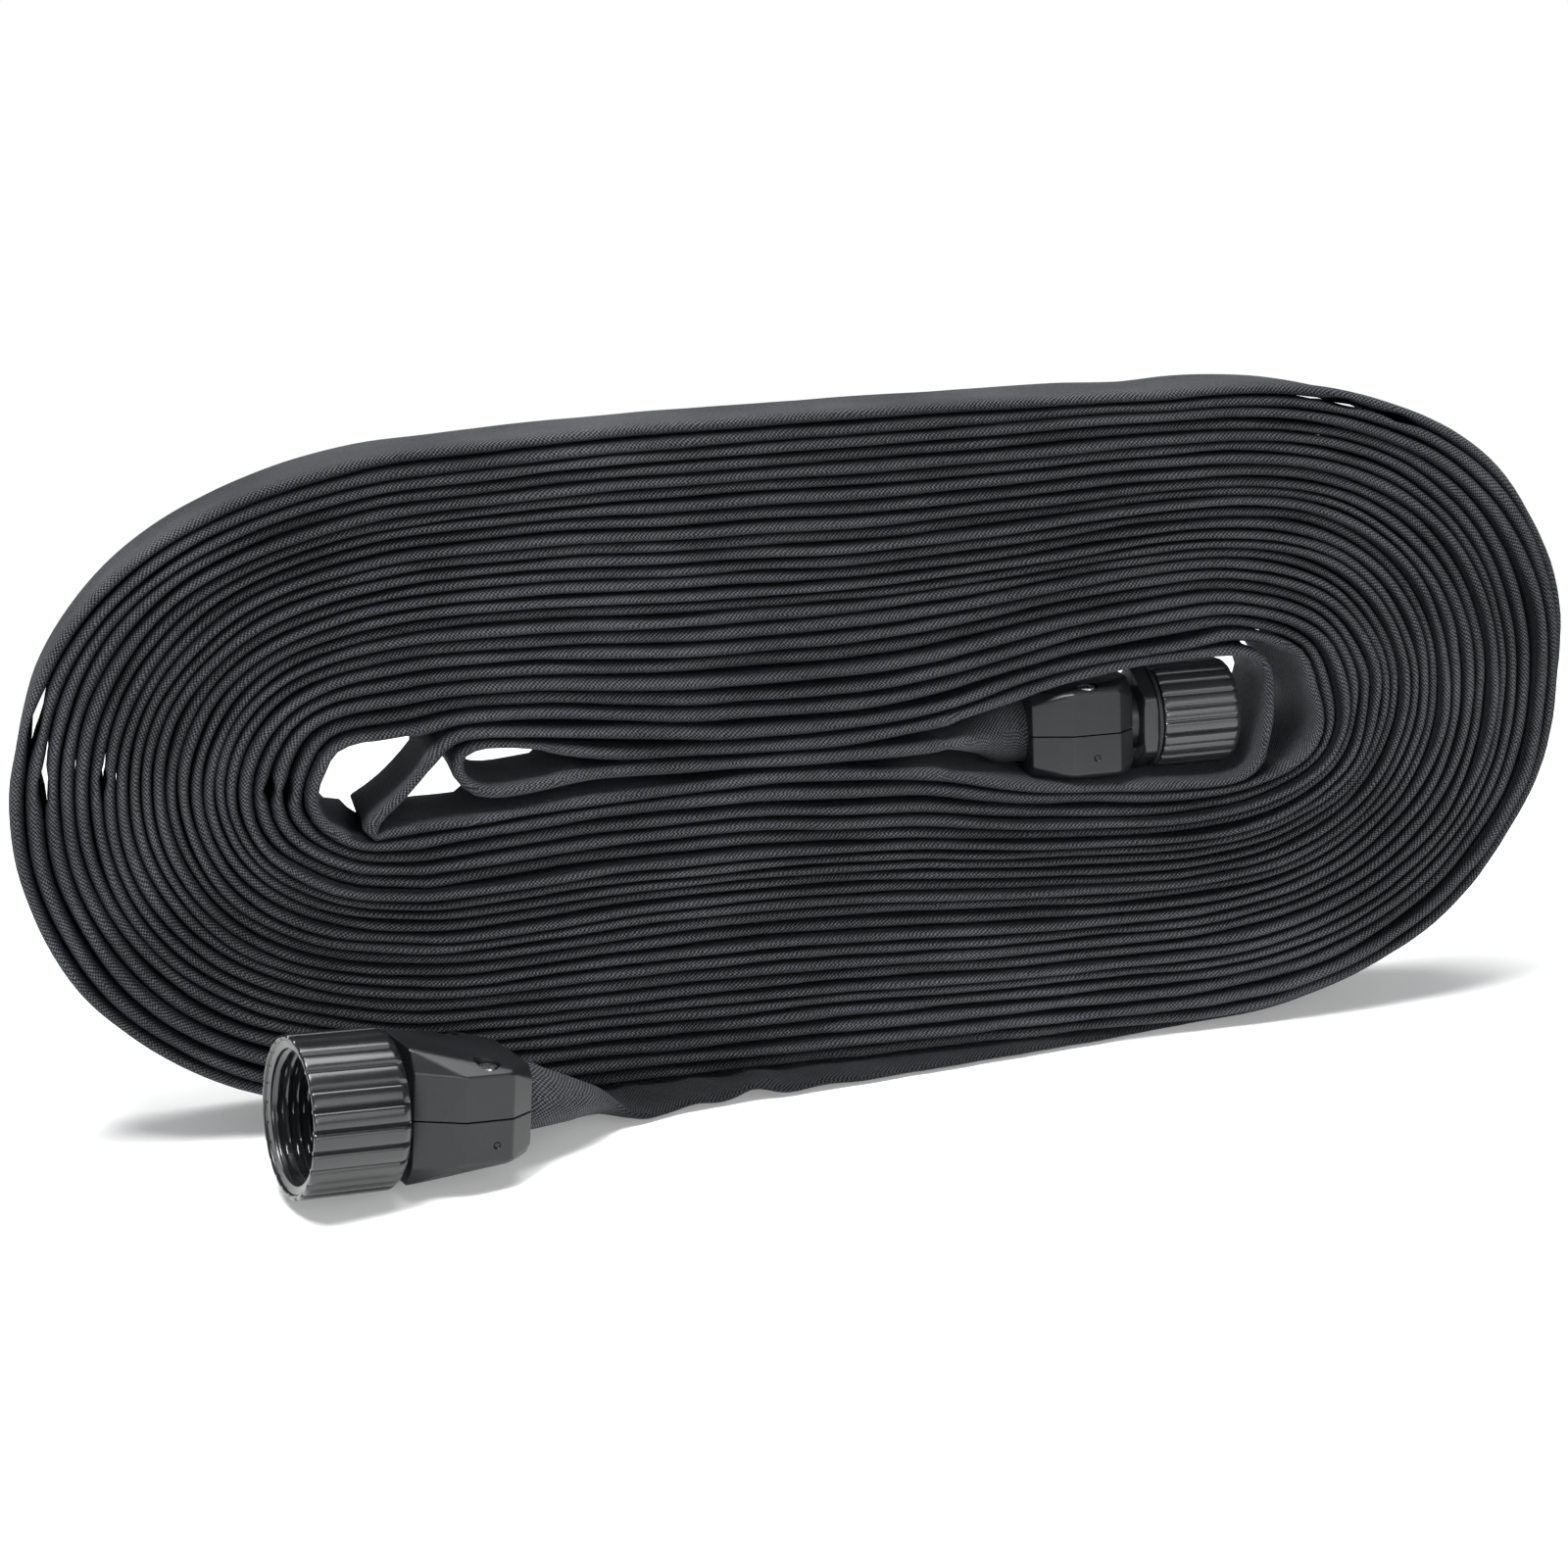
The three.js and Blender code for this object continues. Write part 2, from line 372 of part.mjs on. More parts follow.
// --------------------------------------------------------------- hose stations
// Each station has a centre, a width and a thickness direction, and half sizes
// along them. Flat stations are rectangles, round ones (super)ellipses.
const UP = new THREE.Vector3(0, 0, 1);
const COIL_AXIS = new THREE.Vector3(0, 1, 0);

// unit vector along -X, turned toward the front by yaw and raised by pitch (degrees)
function heading(yaw, pitch) {
  const [turn, rise] = [radians(yaw), radians(pitch)];
  return new THREE.Vector3(
    -Math.cos(turn) * Math.cos(rise), -Math.sin(turn) * Math.cos(rise), Math.sin(rise));
}
const TOWARD_INLET = heading(INLET_YAW, INLET_TILT);

function flatStation([x, y, z, thickness]) {
  return {
    center: new THREE.Vector3(x, y, z),
    halfWidth: HOSE_WIDTH / 2,
    halfThickness: thickness / 2,
  };
}

function coilStations(table) {
  return Array.from({ length: table.length / 3 }, (_, i) => {
    const [x, z, thickness] = table.slice(3 * i, 3 * i + 3);
    return flatStation([x, 0, z, thickness]);
  });
}

const stations = [
  ...OUTLET_FLARE.map(([x, rise, halfWidth, halfThickness]) => ({
    center: new THREE.Vector3(x, 0, OUTLET_Z + rise), halfWidth, halfThickness, round: true,
  })),
  ...coilStations(COIL_CORE),
  ...coilStations(COIL_TURNS),
  ...RUN_OUT.map(flatStation),
  ...TAIL.map((row) => ({ ...flatStation(row), level: true })),
  ...INLET_FLARE.map(([x, y, z, halfWidth, halfThickness, yaw, pitch, squareness, roll]) => ({
    center: new THREE.Vector3(x, y, z), halfWidth, halfThickness, round: true,
    level: true, direction: heading(yaw, pitch), squareness, roll: radians(roll),
  })),
  ...INLET_SLEEVE.map(([x, halfWidth, halfThickness]) => ({
    center: INLET_AT.clone().addScaledVector(TOWARD_INLET, -x), halfWidth, halfThickness,
    round: true, level: true, direction: TOWARD_INLET,
  })),
];
const LAST = stations.length - 1;

const unitBetween = (from, to) => to.clone().sub(from).normalize();

// Level stations keep their width direction horizontal before any roll, the
// others keep it along the coil's axis.
function orient(station, i) {
  const arriving = unitBetween(stations[Math.max(0, i - 1)].center, station.center);
  const leaving = unitBetween(station.center, stations[Math.min(LAST, i + 1)].center);
  const along = station.direction ?? arriving.clone().add(leaving).normalize();
  const across = station.level
    ? along.clone().cross(UP).normalize()
    : COIL_AXIS.clone().addScaledVector(along, -COIL_AXIS.dot(along)).normalize();
  across.applyAxisAngle(along, station.roll ?? 0);
  station.widthDir = across;
  station.thickDir = across.clone().cross(along).normalize();
  // keeps the thickness of flat hose through a bend
  station.miter = station.round
    ? 1 : 1 / Math.max(0.8, Math.sqrt((1 + arriving.dot(leaving)) / 2));
}
stations.forEach(orient);

// outlines in units of the half sizes: [angle, across, through]
const FLAT_OUTLINE = [[1, 1], [-1, 1], [-1, -1], [1, -1]].map(([across, through], k) =>
  [(0.25 + 0.5 * k) * Math.PI, across, through]);

function roundOutline(squareness = 2) {
  const bulge = (value) => Math.sign(value) * Math.abs(value) ** (2 / squareness);
  return Array.from({ length: ROUND_SEGS }, (_, k) => {
    const angle = ((k + 0.5) / ROUND_SEGS) * 2 * Math.PI;
    return [angle, bulge(Math.cos(angle)), bulge(Math.sin(angle))];
  });
}

// closed loop of points at a station, in order of angle
function loopAt(station, halfWidth, halfThickness) {
  const outline = station.round ? roundOutline(station.squareness) : FLAT_OUTLINE;
  return outline.map(([angle, across, through]) => ({
    angle,
    point: station.center.clone()
      .addScaledVector(station.widthDir, halfWidth * across)
      .addScaledVector(station.thickDir, halfThickness * through * station.miter),
  }));
}

class SkinBuilder {
  positions = [];
  indices = [];

  // stores a loop and returns its angles with vertex indices
  add(loop) {
    return loop.map(({ angle, point }) => {
      this.positions.push(point.x, point.y, point.z);
      return { angle, index: this.positions.length / 3 - 1 };
    });
  }

  triangle(a, b, c, flip) {
    if (flip) this.indices.push(a, c, b);
    else this.indices.push(a, b, c);
  }

  // wall between two loops, which may differ in point count
  wall(first, second, flip) {
    const at = (loop, k) => loop[k % loop.length];
    const angleAt = (loop, k) => at(loop, k).angle + (k >= loop.length ? 2 * Math.PI : 0);
    const middle = (loop, k) => (angleAt(loop, k + 1) + angleAt(loop, k)) / 2;
    let i = 0;
    let j = 0;
    while (i < first.length || j < second.length) {
      const a = at(first, i).index;
      const b = at(second, j).index;
      const stepFirst = j >= second.length
        || (i < first.length && middle(first, i) <= middle(second, j));
      if (stepFirst) {
        i++;
        this.triangle(a, at(first, i).index, b, flip);
      } else {
        j++;
        this.triangle(a, at(second, j).index, b, flip);
      }
    }
  }

  walls(loops, flip) {
    for (let i = 0; i + 1 < loops.length; i++) this.wall(loops[i], loops[i + 1], flip);
  }

  cap(loop, flip) {
    for (let k = 1; k + 1 < loop.length; k++) {
      this.triangle(loop[0].index, loop[k].index, loop[k + 1].index, flip);
    }
  }

  geometry() {
    const skin = new THREE.BufferGeometry();
    skin.setAttribute('position', new THREE.Float32BufferAttribute(this.positions, 3));
    skin.setIndex(this.indices);
    const tidied = tidy(skin);
    tidied.computeVertexNormals();
    return tidied;
  }
}

// ------------------------------------------------------------------------ hose
// half sizes of the space inside the jacket; the wall thins as the flare flattens
function insideJacket({ round, halfWidth, halfThickness }) {
  if (!round) return [halfWidth - JACKET.foldWall, halfThickness - JACKET.faceWall];
  const wall = Math.min(JACKET.roundWall, halfThickness * JACKET.wallShare);
  return [halfWidth - JACKET.roundWall, halfThickness - wall];
}

function jacketGeometry() {
  const skin = new SkinBuilder();
  const outer = stations.map((s) => skin.add(loopAt(s, s.halfWidth, s.halfThickness)));
  const inner = stations.map((s) => skin.add(loopAt(s, ...insideJacket(s))));
  skin.walls(outer, false);
  skin.walls(inner, true);
  skin.wall(inner[0], outer[0], false);
  skin.wall(outer[LAST], inner[LAST], false);
  return skin.geometry();
}

function linerLoop(station) {
  const [halfWidth, halfThickness] = insideJacket(station);
  if (!station.round) {
    return loopAt(station, halfWidth - LINER.gap, halfThickness - LINER.faceGap);
  }
  const thickGap = station.halfThickness > LINER.endThickness ? LINER.endGap : LINER.gap;
  return loopAt(station, halfWidth - LINER.endGap, halfThickness - thickGap);
}

// The liner is pressed shut where the hose is flat. It opens to a round
// socket over the barb at both ends.
function linerGeometry() {
  const skin = new SkinBuilder();
  const outer = stations.map((station) => skin.add(linerLoop(station)));
  skin.walls(outer, false);
  const inset = JACKET.roundWall + LINER.endGap + LINER.wall;
  const addSocket = (mouth, step, flip) => {
    const socket = [0, 1, 2, 3].map((k) => {
      const station = stations[mouth + k * step];
      const { halfWidth, halfThickness } = station;
      return skin.add(loopAt(station, halfWidth - inset, halfThickness - inset));
    });
    skin.walls([outer[mouth], ...socket], flip);
    skin.cap(socket.at(-1), flip);
  };
  addSocket(0, 1, true);
  addSocket(LAST, -1, false);
  return skin.geometry();
}

// ------------------------------------------------------------- clamp couplings
function clampHalf({ ends, shoulders, endShapes, cavityShift, screwX }, half) {
  const { side, bevelWidth, bevelHeight } = half;
  const { height, halfWidth } = SHELL;
  const middle = [halfWidth, height - bevelHeight, halfWidth - bevelWidth, height];
  const sections = [
    [ends[0], endShapes[0]], [shoulders[0], middle], [shoulders[1], middle], [ends[1], endShapes[1]],
  ];
  const points = sections.flatMap(([x, [width, sideHeight, topWidth, topHeight]]) =>
    [1, -1].flatMap((sign) => [
      new THREE.Vector3(x, width * sign, SHELL.split * side),
      new THREE.Vector3(x, width * sign, sideHeight * side),
      new THREE.Vector3(x, topWidth * sign, topHeight * side),
    ]));
  let shell = solid(new ConvexGeometry(points))
    .subtract(rodX(SHELL.cavity, ends[0] + cavityShift, ends[1] + cavityShift, 32))
    .subtract(rodX(NECK_HOLE, ends[0] - 1, ends[1] + 1, 32));
  const shankHole = SCREW.shank + SCREW.clearance;
  const headHole = SCREW.head + SCREW.clearance;
  for (const y of [SCREW.y, -SCREW.y]) {
    if (side > 0) {
      shell = shell
        .subtract(rodZ(shankHole, -1, height + 1, screwX, y))
        .subtract(rodZ(headHole, SCREW.seat - SCREW.headSink, height + 1, screwX, y));
    } else {
      shell = shell.subtract(rodZ(shankHole, SCREW.bottom - 0.5, 1, screwX, y));
    }
  }
  return shell;
}

// cross-slotted screw
function screw(x, y) {
  const top = SCREW.seat + SCREW.headHeight;
  let body = rodZ(SCREW.shank, SCREW.bottom, SCREW.seat + SCREW.overlap, x, y, 16)
    .add(rodZ(SCREW.head, SCREW.seat, top, x, y));
  for (const turn of [0, Math.PI / 2]) {
    const slot = new THREE.BoxGeometry(...SCREW.slot);
    slot.rotateZ(turn + SCREW.slotTurn).translate(x, y, top);
    body = body.subtract(solid(slot));
  }
  return body;
}

function addClamp(coupling, prefix, body) {
  for (const half of SHELL_HALVES) {
    addSolid(coupling, `${prefix}_shell_${half.name}`, clampHalf(body, half), satin());
  }
  for (const [place, y] of [['front', -SCREW.y], ['rear', SCREW.y]]) {
    addSolid(coupling, `${prefix}_screw_${place}`, screw(body.screwX, y), screwMetal());
  }
}

// --------------------------------------------------------------- inlet coupling
function inletNut() {
  const { threadMajor, threadMinor, bore, length, wall } = NUT;
  const floor = length - wall;
  const hollow = turned([
    [0, -1], [NUT.mouth, -1], [NUT.mouth, 0.3], [threadMajor, 1.2],
    ...ridges(NUT.threadStart, NUT.pitch, NUT.turns,
      [[threadMajor, 0], [threadMinor, 0.7], [threadMinor, 1.2], [threadMajor, 1.9]]),
    [bore, 10.6], [bore, floor], [0, floor],
  ], 30);
  return knob(NUT, 0).subtract(hollow).subtract(rodX(NECK_HOLE, floor - 1, length + 1, 32));
}

function inletStem() {
  const { bore, neck, collar, barbRoot, barbTip, tipChamfer, segs } = STEM;
  const { start, flange, flangeEnd, collar: [collarStart, collarEnd], end } = INLET_STEM;
  const { barbStart, barbPitch, teeth } = INLET_STEM;
  return turned([
    [bore, start], [flange, start], [flange, flangeEnd], [neck, flangeEnd],
    [neck, collarStart], [collar, collarStart], [collar, collarEnd], [barbRoot, collarEnd],
    ...ridges(barbStart, barbPitch, teeth,
      [[barbRoot, 0.675], [barbTip, 0.9], [barbRoot, barbPitch]]),
    [barbRoot - tipChamfer, end], [bore, end],
  ], segs);
}

function inletCoupling() {
  const inlet = new THREE.Group();
  inlet.position.copy(INLET_AT);
  inlet.rotation.set(0, radians(INLET_TILT), radians(INLET_YAW), 'ZYX');
  addSolid(inlet, 'inlet_nut', inletNut(), glossy());
  const washer = flatRing(WASHER, WASHER.end - WASHER.thickness);
  addSolid(inlet, 'inlet_washer', washer, sealRubber());
  addSolid(inlet, 'inlet_stem', inletStem(), satin());
  addClamp(inlet, 'inlet', INLET_BODY);
  return inlet;
}

// -------------------------------------------------------------- outlet coupling
function outletStem() {
  const { bore, neck, collar, barbRoot, barbTip, tipChamfer, segs } = STEM;
  const { start, barbStart, barbPitch, teeth, collar: [collarStart, collarEnd] } = OUTLET_STEM;
  const { neckEnd, threadRoot, threadCrest, threadStart, pitch, turns } = OUTLET_STEM;
  const { end, mouthChamfer } = OUTLET_STEM;
  const stem = turned([
    [bore, start], [barbRoot - tipChamfer, start], [barbRoot, barbStart],
    ...ridges(barbStart, barbPitch, teeth, [[barbRoot, 0.2], [barbTip, 3.4], [barbRoot, 3.7]]),
    [barbRoot, collarStart], [collar, collarStart], [collar, collarEnd], [neck, collarEnd],
    [neck, neckEnd], [threadRoot, neckEnd], [threadRoot, threadStart],
    ...ridges(threadStart, pitch, turns,
      [[threadRoot, 0.1], [threadCrest, 0.7], [threadCrest, 1.1]]),
    [threadRoot, end], [bore + mouthChamfer, end], [bore, end - mouthChamfer],
  ], segs);
  // corners up and down, a flat to the front
  const hex = rodX(HEX.acrossFlats / Math.sqrt(3), HEX.start, HEX.end, 6);
  return stem.add(hex.subtract(rodX(HEX.hole, 70, 77, 24)));
}

function outletCoupling() {
  const outlet = new THREE.Group();
  outlet.position.set(OUTLET_X, 0, OUTLET_Z);
  addSolid(outlet, 'outlet_stem', outletStem(), satin());
  addClamp(outlet, 'outlet', OUTLET_BODY);
  addSolid(outlet, 'outlet_seal_ring', flatRing(SEAL, SEAL.start), sealRubber());
  const capFloor = CAP.start + CAP.length - CAP.wall;
  const cap = knob(CAP, CAP.start).subtract(rodX(CAP.bore, CAP.start - 1, capFloor, 36));
  addSolid(outlet, 'outlet_cap', cap, glossy());
  const washer = flatRing(CAP_WASHER, capFloor - CAP_WASHER.gap - CAP_WASHER.thickness);
  addSolid(outlet, 'outlet_cap_washer', washer, sealRubber());
  return outlet;
}

// -------------------------------------------------------------------- assembly
const group = new THREE.Group();
group.name = 'rolled_fire_hose';
addMesh(group, 'hose_jacket', jacketGeometry(), fabric());
addMesh(group, 'hose_liner', linerGeometry(), linerRubber());
group.add(inletCoupling(), outletCoupling());
group.updateMatrixWorld(true);

export default group;
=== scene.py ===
"""Flat woven hose wound on edge into an oval coil, with a clamped fitting at each end.

Sizes are in millimetres. The coil winds in the XZ plane, with the hose's width along
Y, and stands on the floor at z = 0; its front faces -Y. The outlet points along +X
inside the coil. From the outermost turn a flat tail runs along the floor towards -X
and -Y, and rises into the inlet fitting.
"""

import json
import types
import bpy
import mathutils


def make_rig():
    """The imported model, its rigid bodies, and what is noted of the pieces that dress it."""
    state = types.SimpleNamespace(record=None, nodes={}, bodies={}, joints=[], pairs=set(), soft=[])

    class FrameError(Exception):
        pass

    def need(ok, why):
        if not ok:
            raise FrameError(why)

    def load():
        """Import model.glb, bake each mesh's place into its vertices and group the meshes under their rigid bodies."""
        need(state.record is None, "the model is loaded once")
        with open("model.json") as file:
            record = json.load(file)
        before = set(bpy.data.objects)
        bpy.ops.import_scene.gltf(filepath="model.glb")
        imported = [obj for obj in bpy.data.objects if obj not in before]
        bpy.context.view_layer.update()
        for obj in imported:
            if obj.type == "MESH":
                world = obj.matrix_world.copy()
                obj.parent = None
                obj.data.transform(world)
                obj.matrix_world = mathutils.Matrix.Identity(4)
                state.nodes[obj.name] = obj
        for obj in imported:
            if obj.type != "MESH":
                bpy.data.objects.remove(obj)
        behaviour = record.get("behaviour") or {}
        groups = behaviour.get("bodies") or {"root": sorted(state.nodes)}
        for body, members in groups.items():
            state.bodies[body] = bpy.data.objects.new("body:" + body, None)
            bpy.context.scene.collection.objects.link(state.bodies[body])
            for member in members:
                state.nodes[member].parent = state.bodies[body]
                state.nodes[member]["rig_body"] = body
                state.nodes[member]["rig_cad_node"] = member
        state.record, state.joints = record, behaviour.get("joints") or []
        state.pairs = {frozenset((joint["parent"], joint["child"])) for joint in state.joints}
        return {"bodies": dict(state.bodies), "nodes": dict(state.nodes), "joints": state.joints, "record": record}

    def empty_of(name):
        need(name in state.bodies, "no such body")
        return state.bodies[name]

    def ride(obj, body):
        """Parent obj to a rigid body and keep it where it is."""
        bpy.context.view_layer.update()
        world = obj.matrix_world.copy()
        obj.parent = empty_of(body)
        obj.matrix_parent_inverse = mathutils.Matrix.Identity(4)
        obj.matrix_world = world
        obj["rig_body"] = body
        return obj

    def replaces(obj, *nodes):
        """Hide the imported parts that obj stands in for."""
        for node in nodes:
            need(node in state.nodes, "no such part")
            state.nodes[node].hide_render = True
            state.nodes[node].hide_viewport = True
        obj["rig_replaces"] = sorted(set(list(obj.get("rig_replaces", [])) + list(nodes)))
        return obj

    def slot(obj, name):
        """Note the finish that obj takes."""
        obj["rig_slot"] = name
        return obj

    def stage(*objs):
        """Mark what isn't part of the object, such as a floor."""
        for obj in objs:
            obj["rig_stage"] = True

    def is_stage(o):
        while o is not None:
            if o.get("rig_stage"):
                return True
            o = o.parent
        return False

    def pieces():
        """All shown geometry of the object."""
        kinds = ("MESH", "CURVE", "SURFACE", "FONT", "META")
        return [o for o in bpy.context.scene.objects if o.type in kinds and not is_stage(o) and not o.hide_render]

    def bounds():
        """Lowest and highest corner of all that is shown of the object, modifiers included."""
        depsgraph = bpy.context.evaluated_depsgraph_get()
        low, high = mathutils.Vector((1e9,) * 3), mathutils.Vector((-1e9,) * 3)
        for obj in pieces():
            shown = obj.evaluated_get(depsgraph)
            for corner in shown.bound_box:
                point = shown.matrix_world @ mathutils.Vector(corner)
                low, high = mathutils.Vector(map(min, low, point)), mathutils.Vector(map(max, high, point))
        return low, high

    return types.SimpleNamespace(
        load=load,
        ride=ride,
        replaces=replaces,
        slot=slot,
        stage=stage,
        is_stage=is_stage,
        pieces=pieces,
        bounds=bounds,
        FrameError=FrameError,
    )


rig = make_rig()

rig.load()
import bpy, bmesh, json, math
import numpy as np
from mathutils import Matrix, Vector

cad_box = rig.bounds()
MM = 0.001
ROOT = "hose_and_couplings"

HALF_WIDTH = 14.0         # of the hose lying flat
TUBE_RADIUS = 7.95        # of the hose pushed over a stem
SOCKET_RADIUS = 7.15      # of the bore inside that tube
OUTLET_ORIGIN = (0.6, 0, 70.8)
INLET_ORIGIN = np.array([-121.5, -55.5, 18.75])
INLET_YAW, INLET_TILT = 15, 6        # degrees
yaw, tilt = math.radians(INLET_YAW), math.radians(INLET_TILT)
# from the inlet's mouth towards its hose
INLET_AXIS = np.array([math.cos(yaw) * math.cos(tilt), math.sin(yaw) * math.cos(tilt),
                       -math.sin(tilt)])

